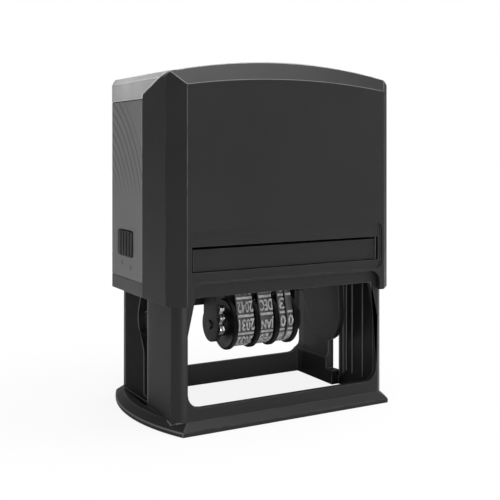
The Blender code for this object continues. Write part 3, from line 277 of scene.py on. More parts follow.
class Finish(Nodes):
    """One material and the nodes that vary it."""

    def __init__(self, name, slot):
        self.material = bpy.data.materials.new(name)
        super().__init__(self.material)
        self.slot = slot
        self.shader = self.tree.nodes.new("ShaderNodeBsdfPrincipled")
        self.out = self.tree.nodes.new("ShaderNodeOutputMaterial")
        self.tree.links.new(self.shader.outputs[0], self.out.inputs["Surface"])
        self.place = self.node("ShaderNodeTexCoord").value("Object")

    def stretched(self, scale, turn=(0, 0, 0)):
        inputs = {"Vector": self.place, "Scale": scale, "Rotation": turn}
        return self.node("ShaderNodeMapping", None, inputs).value("Vector")

    def noise(self, scale, detail=3.0, roughness=0.55, place=None):
        inputs = {
            "Vector": place or self.place,
            "Scale": scale,
            "Detail": detail,
            "Roughness": roughness,
        }
        return self.node("ShaderNodeTexNoise", None, inputs).value("Fac")

    def cells(self, scale):
        inputs = {"Vector": self.place, "Scale": scale}
        return self.node("ShaderNodeTexVoronoi", None, inputs).value("Distance")

    def along(self, axis):
        """Where the surface is along one axis, in metres."""
        return self.node("ShaderNodeSeparateXYZ", None, {"Vector": self.place}).value(axis)

    def reach(self, centre, stretch=(0, 1, 1)):
        """The distance from a centre in the side view, with its axes stretched."""
        inputs = {0: self.place, 1: centre}
        away = self.node("ShaderNodeVectorMath", {"operation": "SUBTRACT"}, inputs).value("Vector")
        inputs = {0: away, 1: stretch}
        flat = self.node("ShaderNodeVectorMath", {"operation": "MULTIPLY"}, inputs).value("Vector")
        return self.node("ShaderNodeVectorMath", {"operation": "LENGTH"}, {0: flat}).value("Value")

    def facing(self, axis):
        """How far the surface faces one way: 1 straight at it, 0 side on."""
        normal = self.node("ShaderNodeTexCoord").value("Normal")
        return self.node("ShaderNodeSeparateXYZ", None, {"Vector": normal}).value(axis)

    def rim(self):
        return self.node("ShaderNodeAttribute", {"attribute_name": "rim"}).value("Fac")

    def tint(self, share, low, high):
        """A colour between two others."""
        settings = {"data_type": "RGBA"}
        inputs = {0: share, 6: low if isinstance(low, Value) else (*low, 1.0)}
        inputs[7] = high if isinstance(high, Value) else (*high, 1.0)
        made = self.node("ShaderNodeMix", settings, inputs)
        return Value(self, made.node.outputs[2])

    def bump(self, height, depth, strength=1.0, after=None):
        inputs = {"Height": height, "Distance": depth, "Strength": strength}
        if after:
            inputs["Normal"] = after
        return self.node("ShaderNodeBump", None, inputs).value("Normal")

    def mixed_with(self, other, share):
        """The main shader with a share of another one."""
        mixed = self.node("ShaderNodeMixShader", None, {0: share, 2: other})
        self.tree.links.new(self.shader.outputs[0], mixed.node.inputs[1])
        self.tree.links.new(mixed.node.outputs[0], self.out.inputs["Surface"])
        return self

    def surface(self, **sockets):
        for name, value in sockets.items():
            self.feed(self.shader.inputs[name.replace("_", " ")], value)
        return self


def grey(level, warmth=0.0):
    """A plain shade, a little warmer than grey if asked."""
    return (level * (1 + warmth), level, level * (1 - warmth))


def moulded(name, slot, level, roughness, grain=0.000012, edge=0.03, top_highlight=0.0, left_highlight=0.0, streaks=0.4):
    """Moulded plastic: fine spark grain, faint flow marks, slide marks, worn edges lightened further as
    painted highlights, and painted highlights on left-facing and top-facing rims when asked.
    """
    made = Finish(name, slot)
    spark = made.noise(5200.0, 2.0, 0.6)
    cloud = made.noise(55.0, 3.0)
    flow = made.noise(9.0, 2.0, place=made.stretched((1.0, 1.0, 0.35)))
    rubs = made.noise(1.0, 4.0, 0.7, made.stretched((900.0, 900.0, 22.0))).step(0.62, 0.72)
    patches = made.noise(38.0, 2.0).step(0.5, 0.68)
    marks = rubs * patches * streaks
    worn = made.rim() * made.noise(210.0, 3.0).step(0.25, 0.7)
    shade = made.tint(cloud, grey(level * 0.86), grey(level * 1.14))
    shade = made.tint(flow.step(0.35, 0.7) * 0.35, shade, grey(level * 1.3))
    shade = made.tint(marks * 0.5, shade, grey(level * 1.9 + 0.01))
    # worn rims, lightened further by edge as a painted highlight where rounded edges catch the light
    shade = made.tint(worn * 0.8, shade, grey(level * 1.5 + edge))
    # painted highlight on rims that face left, left out at the junction with the flange
    if left_highlight:
        left = made.rim() * (1.0 - made.facing("X").step(-0.75, -0.35))
        height = made.along("Z")
        left = left * (1.0 - height.step(*JUNCTION_FROM) * (1.0 - height.step(*JUNCTION_TO)))
        shade = made.tint(left * 0.9, shade, grey(left_highlight))
    # painted highlight on upward-facing rims at the top of the housing
    if top_highlight:
        top_rim_highlight = made.rim() * made.facing("Z").step(0.15, 0.6) * made.along("Z").step(*CREST)
        top_rim_highlight = top_rim_highlight * made.noise(160.0).step(0.15, 0.5)
        shade = made.tint(top_rim_highlight * 0.85, shade, grey(top_highlight))
    rough = roughness + (cloud - 0.5) * 0.16 + (spark - 0.5) * 0.1 - worn * 0.08 - marks * 0.12
    normal = made.bump(spark, grain, 0.7)
    normal = made.bump(flow, 0.00006, 0.25, normal)
    made.surface(Base_Color=shade, Roughness=rough.limited(), Normal=normal)
    return made.surface(Specular_IOR_Level=SATIN)


def frame_finish():
    """The frame's plastic, with painted shade on the ends behind the legs, painted highlights on their
    edges, and painted light on the flange top and the rear bar.
    """
    # the frame's plastic, with a painted highlight on its left-facing rims
    made = moulded("dark frame plastic", "dark_frame_abs", 0.0125, 0.44, edge=0.02, left_highlight=0.13, streaks=0.8)
    x, y, z = made.along("X"), made.along("Y"), made.along("Z")
    behind = y.step(*BEHIND_LEGS) * z.step(*OVER_FLANGE)
    outside = x.size().step(*OUTER_WALL)
    # painted highlights: the front legs' rear edges and the rear corner edges on the outer walls, pale as
    # if lit
    near_edge = y.step(*LEG_EDGE_FROM) * (1.0 - y.step(*LEG_EDGE_TO)) * 1.4
    far_edge = y.step(*REAR_EDGE) * 1.6
    lit_edges = (near_edge + far_edge) * outside * z.step(*LIT_EDGES_ABOVE)
    lit_edges = lit_edges * (0.55 + made.noise(120.0, 2.0) * 0.4)
    # painted shade: the outer walls behind the front legs, above the flange, get a dark matt coat, except
    # on rims and the lit edges
    painted_shade = behind * outside * (1.0 - made.rim() * 0.8) * (1.0 - lit_edges.limited())
    shade = Value(made, made.shader.inputs["Base Color"].links[0].from_socket)
    shade = made.tint(lit_edges.limited(), shade, grey(0.085))
    # painted light on the upward-facing top of the flange
    low = 1.0 - z.step(*FLANGE_TOP)
    shade = made.tint(low * made.facing("Z").step(0.8, 0.95) * 0.7, shade, grey(0.035))
    # painted light on the rear bar, seen through the front window
    back = y.step(*REAR_BAR_FROM) * (1.0 - y.step(*REAR_BAR_TO))
    shade = made.tint(back * 0.8, shade, grey(0.035))
    made.surface(Base_Color=shade)
    # the painted shade's dark matt shader, with a faint grain
    shade_grain = made.noise(300.0, 3.0)
    shade = made.tint(shade_grain, grey(0.006), grey(0.02))
    painted_shade_bsdf = made.node("ShaderNodeBsdfDiffuse", None, {"Color": shade}).value("BSDF")
    return made.mixed_with(painted_shade_bsdf, painted_shade * 0.8)


def side_plastic():
    """The lighter side panels: matt moulded plastic with a fan of shallow moulded arcs, lighter towards the
    top, with painted shade in the arcs' grooves and in two dents under the button.
    """
    made = Finish("matt grey side plastic", "grey_side_abs")
    spark = made.noise(4600.0, 2.0, 0.6)
    cloud = made.noise(48.0, 3.0)
    distance = made.reach(ARC_CENTRE)
    wave = (distance * ARC_TURNS + made.noise(30.0, 1.0) * 0.9).sine() * 0.5 + 0.5
    ridge = wave.step(0.02, 0.3)
    height = made.along("Z")
    field = height.step(*ARCS_ABOVE) * (1.0 - distance.step(*ARCS_WITHIN))
    groove_shade = (1.0 - ridge) * field
    worn = made.rim() * made.noise(240.0, 3.0).step(0.3, 0.75)
    low_rim = 1.0 - height.step(*PANEL_RIM)
    shade = made.tint(cloud, grey(0.155), grey(0.2))
    shade = made.tint(height.step(*PANEL_RISE) * 0.35, shade, grey(0.27))
    # painted shade in the grooves between the arcs
    shade = made.tint(groove_shade * 0.62, shade, grey(0.07))
    pits = side_marks(made)
    # painted shade inside the two dents
    shade = made.tint(pits * 0.75, shade, grey(0.05))
    shade = made.tint(low_rim * 0.9, shade, grey(0.055))
    shade = made.tint(worn * 0.4, shade, grey(0.32))
    rough = 0.5 + (cloud - 0.5) * 0.14 + (spark - 0.5) * 0.12 - worn * 0.06
    normal = made.bump(spark, 0.000014, 0.8)
    normal = made.bump(ridge * field - pits, 0.00012, 0.8, normal)
    return made.surface(Base_Color=shade, Roughness=rough.limited(), Normal=normal)


def side_marks(made):
    """Two small dents under the lock button, 1 inside them, for their bump and their painted shade."""
    dent = 0.0
    for y, z in SIDE_MARKS:
        reach = made.reach((0, y, z), (0, 1.0, 0.75))
        reach = reach + (made.noise(900.0) - 0.5) * 0.0004
        dent = dent + (1.0 - reach.step(0.00045, 0.0008))
    return dent


def clear_plastic():
    """Clear polished acrylic with hairline scratches and a soft haze on its rims."""
    made = Finish("clear acrylic", "clear_acrylic")
    hair = made.noise(1.0, 3.0, 0.75, made.stretched((2600.0, 160.0, 2600.0), (0, 0, 0.6)))
    hair = hair.step(0.66, 0.72)
    haze = made.noise(70.0, 3.0)
    worn = made.rim()
    rough = 0.05 + haze * 0.06 + hair * 0.18 + worn * 0.22
    shade = made.tint(worn * 0.6, grey(0.93, -0.004), grey(0.8))
    normal = made.bump(haze, 0.00003, 0.2)
    made.surface(Base_Color=shade, Roughness=rough.limited(), Normal=normal)
    made.surface(Transmission_Weight=1.0, IOR=1.49)
    bloom = made.noise(34.0, 2.0, place=made.stretched((1.0, 1.0, 0.5)))
    milk = made.tint(bloom.step(0.2, 0.8), grey(0.72), grey(0.96))
    cloudy = made.node("ShaderNodeBsdfDiffuse", None, {"Color": milk}).value("BSDF")
    share = (worn * 0.6 + haze.step(0.35, 0.8) * 0.1 + 0.42).limited()
    return made.mixed_with(cloudy, share)


def card():
    """Uncoated card: short fibres and a little shade in its pulp."""
    made = Finish("uncoated card", "card_paper")
    fibre = made.noise(1.0, 4.0, 0.7, made.stretched((2200.0, 700.0, 2200.0)))
    pulp = made.noise(140.0, 3.0)
    shade = made.tint(pulp, grey(0.76, 0.01), grey(0.84, 0.01))
    shade = made.tint(fibre.step(0.58, 0.7) * 0.4, shade, grey(0.68, 0.015))
    rough = 0.82 + (fibre - 0.5) * 0.16
    return made.surface(Base_Color=shade, Roughness=rough, Normal=made.bump(fibre, 0.00002, 0.6))


def metal(name, slot, level, roughness, along):
    """Bright steel: drawing or grinding lines, small pits and a trace of oil."""
    made = Finish(name, slot)
    lines = made.noise(1.0, 4.0, 0.7, made.stretched(along))
    film = made.noise(180.0, 3.0)
    pits = made.cells(3200.0)
    spots = 1.0 - pits.step(0.04, 0.12)
    shade = made.tint(lines, grey(level * 0.82, 0.01), grey(level * 1.1, 0.004))
    shade = made.tint(film.step(0.55, 0.75) * 0.35, shade, grey(level * 0.6, 0.03))
    shade = made.tint(spots * 0.4, shade, grey(level * 0.4, 0.04))
    rough = roughness + (lines - 0.5) * 0.2 + film.step(0.5, 0.8) * 0.15
    normal = made.bump(lines, 0.000006, 0.6)
    return made.surface(Base_Color=shade, Roughness=rough.limited(), Metallic=1.0, Normal=normal)


def rubber(name, slot, level, warmth, stain):
    """Moulded rubber: a dusty bloom in patches and dark ink on its eased edges."""
    made = Finish(name, slot)
    skin = made.noise(2600.0, 3.0, 0.65)
    bloom = made.noise(420.0, 3.0)
    inked = made.rim()
    shade = made.tint(bloom, grey(level * 0.8, warmth), grey(level * 1.25, warmth))
    shade = made.tint(inked * stain, shade, grey(level * 0.35, warmth))
    rough = 0.62 + (bloom - 0.5) * 0.3 - inked * 0.12
    normal = made.bump(skin, 0.000018, 0.8)
    normal = made.bump(bloom, 0.00004, 0.4, normal)
    return made.surface(Base_Color=shade, Roughness=rough.limited(), Normal=normal)


def worn_rubber():
    """Date band rubber: the band painted dark between the letters as shade, the raised letters and bars
    painted light and patchy as lit.
    """
    made = Finish("date band rubber", "band_rubber")
    skin = made.noise(3000.0, 3.0, 0.65)
    patch = made.noise(650.0, 3.0)
    shade = made.tint(patch, grey(0.04), grey(0.075))
    # painted light on the raised letters and bars; the band between them is painted dark as shade
    pale = made.tint(patch.step(0.3, 0.65), grey(0.24), grey(0.5))
    shade = made.tint(made.rim() * 0.95, shade, pale)
    rough = 0.6 + (patch - 0.5) * 0.3
    normal = made.bump(skin, 0.000015, 0.7)
    return made.surface(Base_Color=shade, Roughness=rough.limited(), Normal=normal)


def felt():
    """Ink-soaked felt: matted fibres, wetter and darker towards the middle."""
    made = Finish("ink felt", "ink_felt")
    fibre = made.noise(1.0, 5.0, 0.75, made.stretched((2400.0, 1500.0, 1800.0), (0.3, 0.2, 0.9)))
    clump = made.noise(520.0, 3.0)
    wet = made.noise(60.0, 2.0).step(0.35, 0.7)
    shade = made.tint(fibre * clump, grey(0.008), grey(0.035))
    shade = made.tint(wet * 0.5, shade, grey(0.006))
    rough = 0.92 - wet * 0.3 + (fibre - 0.5) * 0.1
    normal = made.bump(fibre * 0.6 + clump * 0.4, 0.00018, 0.9)
    return made.surface(Base_Color=shade, Roughness=rough.limited(), Normal=normal)


# black cover plastic, with painted highlights on its top rims and worn edges
black_plastic = moulded("black cover plastic", "black_abs", 0.0125, 0.47, edge=0.012, top_highlight=0.2)
frame_plastic = frame_finish()
yoke_plastic = moulded("inner slide plastic", "yoke_abs", 0.014, 0.5)
cartridge_plastic = moulded("cartridge plastic", "cartridge_abs", 0.012, 0.42)
carrier_plastic = moulded("carrier plastic", "carrier_abs", 0.009, 0.42)
plate_plastic = moulded("type plate plastic", "type_plate_abs", 0.2, 0.5)
wheel_plastic = moulded("wheel plastic", "wheel_abs", 0.009, 0.36, streaks=0.2)
grey_plastic = side_plastic()
acrylic = clear_plastic()
card_stock = card()
pin_steel = metal("ground steel", "steel", 0.6, 0.26, (40.0, 2600.0, 2600.0))
dark_steel = metal("blackened steel", "steel", 0.07, 0.45, (40.0, 2600.0, 2600.0))
wire_steel = metal("spring steel", "spring_steel", 0.55, 0.24, (500.0, 500.0, 900.0))
die_rubber = rubber("die rubber", "die_rubber", 0.05, 0.12, 0.6)
band_rubber = worn_rubber()
ink_felt = felt()


# Shapes

def tuned(bm, name, smooth=True, weighted=True):
    """A mesh object from bm, shaded smooth with normals that keep its flats flat."""
    mesh = bpy.data.meshes.new(name)
    bm.to_mesh(mesh)
    bm.free()
    piece = bpy.data.objects.new(name, mesh)
    bpy.context.scene.collection.objects.link(piece)
    if smooth:
        mesh.shade_smooth()
    if weighted:
        step = piece.modifiers.new("normals", "WEIGHTED_NORMAL")
        step.keep_sharp = True
        settle(piece)
    return piece


def settle(piece):
    """Turns a piece with modifiers into a plain mesh."""
    bpy.context.view_layer.update()
    seen = piece.evaluated_get(bpy.context.evaluated_depsgraph_get())
    mesh = bpy.data.meshes.new_from_object(seen)
    piece.modifiers.clear()
    piece.data = mesh
    return piece


def finished(piece, finish, body, nodes=()):
    """Gives a piece its finish, its body and the solids that it stands for."""
    piece.data.materials.clear()
    piece.data.materials.append(finish.material)
    for face in piece.data.polygons:
        face.material_index = 0
    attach(piece, body)
    if nodes:
        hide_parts(*nodes)
    return piece


def solid_of(node):
    """The node's shape as whole faces instead of loose triangles."""
    bm = bmesh.new()
    bm.from_mesh(frame["nodes"][node].data)
    bmesh.ops.remove_doubles(bm, verts=bm.verts, dist=WELD)
    bmesh.ops.dissolve_limit(bm, angle_limit=math.radians(FLAT), verts=bm.verts, edges=bm.edges)
    return bm


def upright_at(edge, places):
    """Whether an upright edge stands at one of the given (distance from the middle, y) places."""
    a, b = edge.verts[0].co, edge.verts[1].co
    if abs(a.x - b.x) + abs(a.y - b.y) > NEAR:
        return False
    return any(abs(abs(a.x) - x) + abs(a.y - y) < 4 * NEAR for x, y in places)


def breadth(face):
    """The short side of a face, roughly."""
    return 2 * face.calc_area() / face.calc_perimeter()


def bevelled(bm, picked, width, segments, clamp):
    """Rounds the picked edges and marks the strips as rim."""
    made = bmesh.ops.bevel(
        bm,
        geom=picked,
        offset=width,
        offset_type="OFFSET",
        segments=segments,
        profile=0.5,
        affect="EDGES",
        clamp_overlap=clamp,
    )
    rim = bm.loops.layers.float["rim"]
    for face in made["faces"]:
        for loop in face.loops:
            loop[rim] = 1.0


def eased(bm, width, segments=2, soft=()):
    """Rounds the sharp edges, less on narrow faces; edges at soft places stay to the shading."""
    bm.loops.layers.float.new("rim")
    bmesh.ops.dissolve_degenerate(bm, dist=SLIVER, edges=bm.edges)
    for share, steps in ((1.0, segments), (NARROW_SHARE, 1)):
        rim = bm.loops.layers.float["rim"]
        bm.edges.index_update()
        picked = []
        for edge in bm.edges:
            if len(edge.link_faces) != 2 or edge.calc_face_angle() < math.radians(CORNER):
                continue
            if upright_at(edge, soft) or any(face.loops[0][rim] for face in edge.link_faces):
                continue
            if min(breadth(face) for face in edge.link_faces) > EASE_ROOM * width * share:
                picked.append(edge.index)
        skin = BVHTree.FromBMesh(bm)
        for clamp in (False, True):
            trial = bm.copy()
            trial.edges.ensure_lookup_table()
            bevelled(trial, [trial.edges[i] for i in picked], width * share, steps, clamp)
            reach = EASE_STRAY * width * share
            strays = [v for v in trial.verts if skin.find_nearest(v.co)[3] > reach]
            if not strays:
                bm.free()
                bm = trial
                break
            trial.free()
    return bm


def dressed(node, finish, width, segments=2, before=None, soft=()):
    """A solid with eased edges in its finish, in place of the plain node."""
    bm = solid_of(node)
    if before:
        before(bm)
    bm = eased(bm, width, segments, soft)
    for edge in bm.edges:
        if len(edge.link_faces) == 2 and edge.calc_face_angle() > math.radians(CRISP):
            edge.smooth = False
    piece = tuned(bm, node + "_finished")
    return finished(piece, finish, body_of[node], (node,))


def wheel(name, profile, finish):
    """A setting wheel turned about the shaft from (x, radius, tooth depth) points."""
    steps = 2 * WHEEL_TEETH
    bm = bmesh.new()
    rings = []
    for x, radius, depth in profile:
        ring = []
        for i in range(steps):
            angle = math.tau * i / steps
            reach = radius - depth * (i % 2)
            spot = (x, reach * math.cos(angle), SHAFT_HEIGHT + reach * math.sin(angle))
            ring.append(bm.verts.new(spot))
        rings.append(ring)
    for low, high in zip(rings, rings[1:] + rings[:1]):
        for i in range(steps):
            j = (i + 1) % steps
            bm.faces.new((low[i], high[i], high[j], low[j]))
    bmesh.ops.recalc_face_normals(bm, faces=bm.faces)
    for edge in bm.edges:
        edge.smooth = edge.calc_face_angle() < math.radians(CRISP_TOOTH)
    piece = tuned(bm, name + "_toothed")
    return finished(piece, finish, body_of[name], (name,))


def disc_side(x, inward, hub):
    """The dished flank of a disc from its hub out to the toothed rim."""
    return [
        (x, hub, 0),
        (x, hub + DISH_RADII[0], 0),
        (x + inward * DISH_DEPTH, hub + DISH_RADII[1], 0),
        (x + inward * DISH_DEPTH, RIM_RADII[0], 0),
        (x, RIM_RADII[1], 0),
        (x, RIM_RADII[2], 0),
    ] + [(x + inward * back, radius, depth) for back, radius, depth in RIM_SLOPE]


def wheel_profile(left, disc_low, disc_high, right, hub):
    """Bore, hub or drum on the left, the disc, and hub or drum on the right."""
    points = [(left, SHAFT_BORE, 0)]
    if left < disc_low:
        points += [(left, hub[0] - HUB_CHAMFER, 0), (left + HUB_CHAMFER, hub[0], 0)]
    points += disc_side(disc_low, 1, hub[0])
    points += disc_side(disc_high, -1, hub[1])[::-1]
    if right > disc_high:
        points += [(right - HUB_CHAMFER, hub[1], 0), (right, hub[1] - HUB_CHAMFER, 0)]
    return points + [(right, SHAFT_BORE, 0)]


class BandPath:
    """The closed line that a date band takes round its drum and over the anvil."""

    def __init__(self):
        rise = ANVIL_HEIGHT - SHAFT_HEIGHT
        lean = math.atan2(ANVIL_END, rise)
        span = math.hypot(ANVIL_END, rise)
        turn = math.asin((BAND_INSIDE - ANVIL_RADIUS) / span) - lean
        arcs = [
            ((0.0, SHAFT_HEIGHT), BAND_INSIDE, math.pi - turn, math.tau + turn),
            ((ANVIL_END, ANVIL_HEIGHT), ANVIL_RADIUS, turn, math.pi / 2),
            ((-ANVIL_END, ANVIL_HEIGHT), ANVIL_RADIUS, math.pi / 2, math.pi - turn),
        ]
        self.points = []
        for (y, z), radius, start, end in arcs:
            steps = max(6, int(math.degrees(end - start) / 5))
            for i in range(steps + 1):
                angle = start + (end - start) * i / steps
                out = Vector((math.cos(angle), math.sin(angle)))
                self.points.append((Vector((y, z)) + out * radius, out))
        self.marks = [0.0]
        ends = self.points[1:] + self.points[:1]
        for (spot, out), (spot_next, out_next) in zip(self.points, ends):
            gap = (spot_next + out_next * BAND_THICKNESS) - (spot + out * BAND_THICKNESS)
            self.marks.append(self.marks[-1] + gap.length)
        self.length = self.marks[-1]

    def at(self, along, height):
        """The (y, z) spot at a length along the band and a height over its inside."""
        along = along % self.length
        for i in range(len(self.points)):
            if along <= self.marks[i + 1]:
                break
        share = (along - self.marks[i]) / (self.marks[i + 1] - self.marks[i])
        spot, out = self.points[i]
        spot_next, out_next = self.points[(i + 1) % len(self.points)]
        middle = spot.lerp(spot_next, share)
        return middle + out.lerp(out_next, share).normalized() * height


def letters(text, width, height):
    """Flat filled letters, centred, as a mesh cut into strips that can bend."""
    words = bpy.data.curves.new("letters", "FONT")
    words.body = text
    words.resolution_u = 2
    words.offset = LETTER_BOLD
    holder = bpy.data.objects.new("letters", words)
    bpy.context.scene.collection.objects.link(holder)
    bpy.context.view_layer.update()
    mesh = bpy.data.meshes.new_from_object(holder)
    bpy.data.objects.remove(holder)
    bm = bmesh.new()
    bm.from_mesh(mesh)
    bpy.data.meshes.remove(mesh)
    bmesh.ops.remove_doubles(bm, verts=bm.verts, dist=LETTER_WELD)
    xs = [v.co.x for v in bm.verts]
    ys = [v.co.y for v in bm.verts]
    left, right, low, high = min(xs), max(xs), min(ys), max(ys)
    for v in bm.verts:
        v.co.x = (v.co.x - left) / (right - left) * width - width / 2
        v.co.y = (v.co.y - low) / (high - low) * height - height / 2
        v.co.z = 0.0
    for i in range(1, LETTER_STRIPS):
        cut = (0, height * (i / LETTER_STRIPS - 0.5), 0)
        everything = bm.verts[:] + bm.edges[:] + bm.faces[:]
        bmesh.ops.bisect_plane(bm, geom=everything, plane_co=cut, plane_no=(0, 1, 0))
    return bm


def raised(bm, depth):
    """Gives flat letters their height; the tops keep the rim mark."""
    rim = bm.loops.layers.float.new("rim")
    for face in bm.faces:
        for loop in face.loops:
            loop[rim] = 1.0
    made = bmesh.ops.extrude_face_region(bm, geom=bm.faces[:])
    moved = [v for v in made["geom"] if isinstance(v, bmesh.types.BMVert)]
    for v in moved:
        v.co.z += depth
    bmesh.ops.recalc_face_normals(bm, faces=bm.faces)
    for edge in bm.edges:
        edge.smooth = edge.is_boundary or edge.calc_face_angle(0) < math.radians(CRISP_LETTER)
    return bm


def wrapped(bm, path, along, middle):
    """Bends raised letters round the band, mirrored as on every stamp."""
    for v in bm.verts:
        y, z = path.at(along + v.co.y, BAND_THICKNESS - BAND_SINK + v.co.z)
        v.co = (middle - v.co.x, y, z)
    bmesh.ops.recalc_face_normals(bm, faces=bm.faces)
    return bm


def date_band(name, low, high, rows):
    """A rubber band with raised text in even rows and a plain bar between two rows."""
    path = BandPath()
    bm = bmesh.new()
    edge = BAND_CHAMFER
    section = [
        (low + edge, 0),
        (high - edge, 0),
        (high, edge),
        (high, BAND_THICKNESS - edge),
        (high - edge, BAND_THICKNESS),
        (low + edge, BAND_THICKNESS),
        (low, BAND_THICKNESS - edge),
        (low, edge),
    ]
    rings = []
    for i in range(BAND_STEPS):
        ring = []
        for x, height in section:
            y, z = path.at(path.length * i / BAND_STEPS, height)
            ring.append(bm.verts.new((x, y, z)))
        rings.append(ring)
    for ring, after in zip(rings, rings[1:] + rings[:1]):
        for i in range(len(section)):
            j = (i + 1) % len(section)
            bm.faces.new((ring[i], ring[j], after[j], after[i]))
    bmesh.ops.recalc_face_normals(bm, faces=bm.faces)
    band = tuned(bm, name + "_loop", weighted=False)
    parts = [band]
    pitch = path.length / len(rows)
    width = high - low - 2 * BAND_MARGIN
    for i, text in enumerate(rows):
        if text:
            glyphs = raised(letters(text, width, ROW_HEIGHT), BAND_SINK + ROW_RELIEF)
            glyphs = wrapped(glyphs, path, (i + BAND_START) * pitch, (low + high) / 2)
            parts.append(tuned(glyphs, name + "_row", weighted=False))
        bar = bmesh.new()
        bmesh.ops.create_grid(bar, x_segments=1, y_segments=2, size=0.5)
        for v in bar.verts:
            v.co.x *= width
            v.co.y *= BAR_WIDTH
        bar = raised(bar, BAND_SINK + BAR_RELIEF)
        bar = wrapped(bar, path, (i + BAND_START + 0.5) * pitch, (low + high) / 2)
        parts.append(tuned(bar, name + "_bar", weighted=False))
    band = joined(parts, name + "_lettered")
    return finished(band, band_rubber, body_of[name], (name,))


def joined(parts, name):
    """Several pieces of one body as one mesh."""
    bm = bmesh.new()
    for part in parts:
        bm.from_mesh(part.data)
        bpy.data.objects.remove(part)
    return tuned(bm, name, smooth=False, weighted=False)


def clip_blade():
    """The bright detent clip: a thin blade folded in three waves."""
    bm = bmesh.new()
    rows = []
    for y, z in CLIP_FOLD:
        rows.append([bm.verts.new((x, y - CLIP_FORWARD, z)) for x in (CLIP_LEFT, CLIP_RIGHT)])
    for low, high in zip(rows, rows[1:]):
        bm.faces.new((low[0], low[1], high[1], high[0]))
    piece = tuned(bm, "detent_clip_folded", weighted=False)
    thick = piece.modifiers.new("thickness", "SOLIDIFY")
    thick.thickness = CLIP_THICKNESS
    thick.offset = 0
    ease = piece.modifiers.new("ease", "BEVEL")
    ease.width = CLIP_EASE
    ease.segments = 1
    settle(piece)
    return finished(piece, wire_steel, body_of["detent_clip"], ("detent_clip",))


# The springs grow from a tree of nodes

class Tree:
    """A geometry tree built in code, with named inputs."""

    def __init__(self, name, inputs):
        self.group = bpy.data.node_groups.new(name, "GeometryNodeTree")
        self.inputs = {}
        for label, kind, value in inputs:
            socket = self.group.interface.new_socket(label, in_out="INPUT", socket_type=kind)
            if value is not None:
                socket.default_value = value
            self.inputs[label] = socket.identifier
        self.group.interface.new_socket("Geometry", in_out="OUTPUT", socket_type="NodeSocketGeometry")
        self.entry = self.group.nodes.new("NodeGroupInput")
        self.exit = self.group.nodes.new("NodeGroupOutput")

    def node(self, kind, settings=None, inputs=None):
        made = self.group.nodes.new(kind)
        for key, value in (settings or {}).items():
            setattr(made, key, value)
        for key, value in (inputs or {}).items():
            if isinstance(value, bpy.types.NodeSocket):
                self.group.links.new(value, made.inputs[key])
            else:
                made.inputs[key].default_value = value
        return made

    def value(self, label):
        return self.entry.outputs[label]

    def end(self, geometry, material):
        real = self.node("GeometryNodeRealizeInstances", None, {0: geometry})
        last = self.node("GeometryNodeSetMaterial", None, {0: real.outputs[0], "Material": material})
        self.group.links.new(last.outputs[0], self.exit.inputs[0])

    def grown(self, name, values):
        """A plain mesh object made by the tree with these inputs."""
        piece = bpy.data.objects.new(name, bpy.data.meshes.new(name))
        bpy.context.scene.collection.objects.link(piece)
        step = piece.modifiers.new("tree", "NODES")
        step.node_group = self.group
        for label, value in values.items():
            step[self.inputs[label]] = value
        return settle(piece)


def spring_tree():
    """A wire wound round the Z axis from 0 up to its height, with closer turns at both feet."""
    number, whole = "NodeSocketFloat", "NodeSocketInt"
    tree = Tree("wound spring", [
        ("Turns", number, 8.0), ("Radius", number, 0.004), ("Height", number, 0.04),
        ("Wire", number, 0.0006), ("Points", whole, 260), ("Foot", number, 0.06),
    ])
    share = tree.node("GeometryNodeSplineParameter").outputs["Factor"]
    line = tree.node("GeometryNodeCurvePrimitiveLine", None, {"Start": (0, 0, 0), "End": (0, 0, 1)})
    inputs = {"Curve": line.outputs[0], "Count": tree.value("Points")}
    fine = tree.node("GeometryNodeResampleCurve", None, inputs)
    maths = {"operation": "MULTIPLY"}
    whole_turn = tree.node("ShaderNodeMath", maths, {0: tree.value("Turns"), 1: math.tau})
    angle = tree.node("ShaderNodeMath", maths, {0: share, 1: whole_turn.outputs[0]})
    cosine = tree.node("ShaderNodeMath", {"operation": "COSINE"}, {0: angle.outputs[0]})
    sine = tree.node("ShaderNodeMath", {"operation": "SINE"}, {0: angle.outputs[0]})
    x = tree.node("ShaderNodeMath", maths, {0: cosine.outputs[0], 1: tree.value("Radius")})
    y = tree.node("ShaderNodeMath", maths, {0: sine.outputs[0], 1: tree.value("Radius")})
    high = tree.node("ShaderNodeMath", {"operation": "SUBTRACT"}, {0: 1.0, 1: tree.value("Foot")})
    inputs = {"Value": share, "From Min": tree.value("Foot"), "From Max": high.outputs[0]}
    climb = tree.node("ShaderNodeMapRange", {"interpolation_type": "SMOOTHSTEP"}, inputs)
    even = tree.node("ShaderNodeMapRange", None, inputs)
    mixed = tree.node("ShaderNodeMix", None, {0: 0.15, 2: even.outputs[0], 3: climb.outputs[0]})
    z = tree.node("ShaderNodeMath", maths, {0: mixed.outputs[0], 1: tree.value("Height")})
    spot = tree.node("ShaderNodeCombineXYZ", None, {0: x.outputs[0], 1: y.outputs[0], 2: z.outputs[0]})
    inputs = {"Geometry": fine.outputs[0], "Position": spot.outputs[0]}
    placed = tree.node("GeometryNodeSetPosition", None, inputs)
    inputs = {"Resolution": 12, "Radius": tree.value("Wire")}
    round_wire = tree.node("GeometryNodeCurvePrimitiveCircle", None, inputs)
    tube = tree.node("GeometryNodeCurveToMesh", None, {
        "Curve": placed.outputs[0], "Profile Curve": round_wire.outputs[0], "Fill Caps": True,
    })
    tree.end(tube.outputs[0], wire_steel.material)
    return tree


# Housing, frame and cartridge

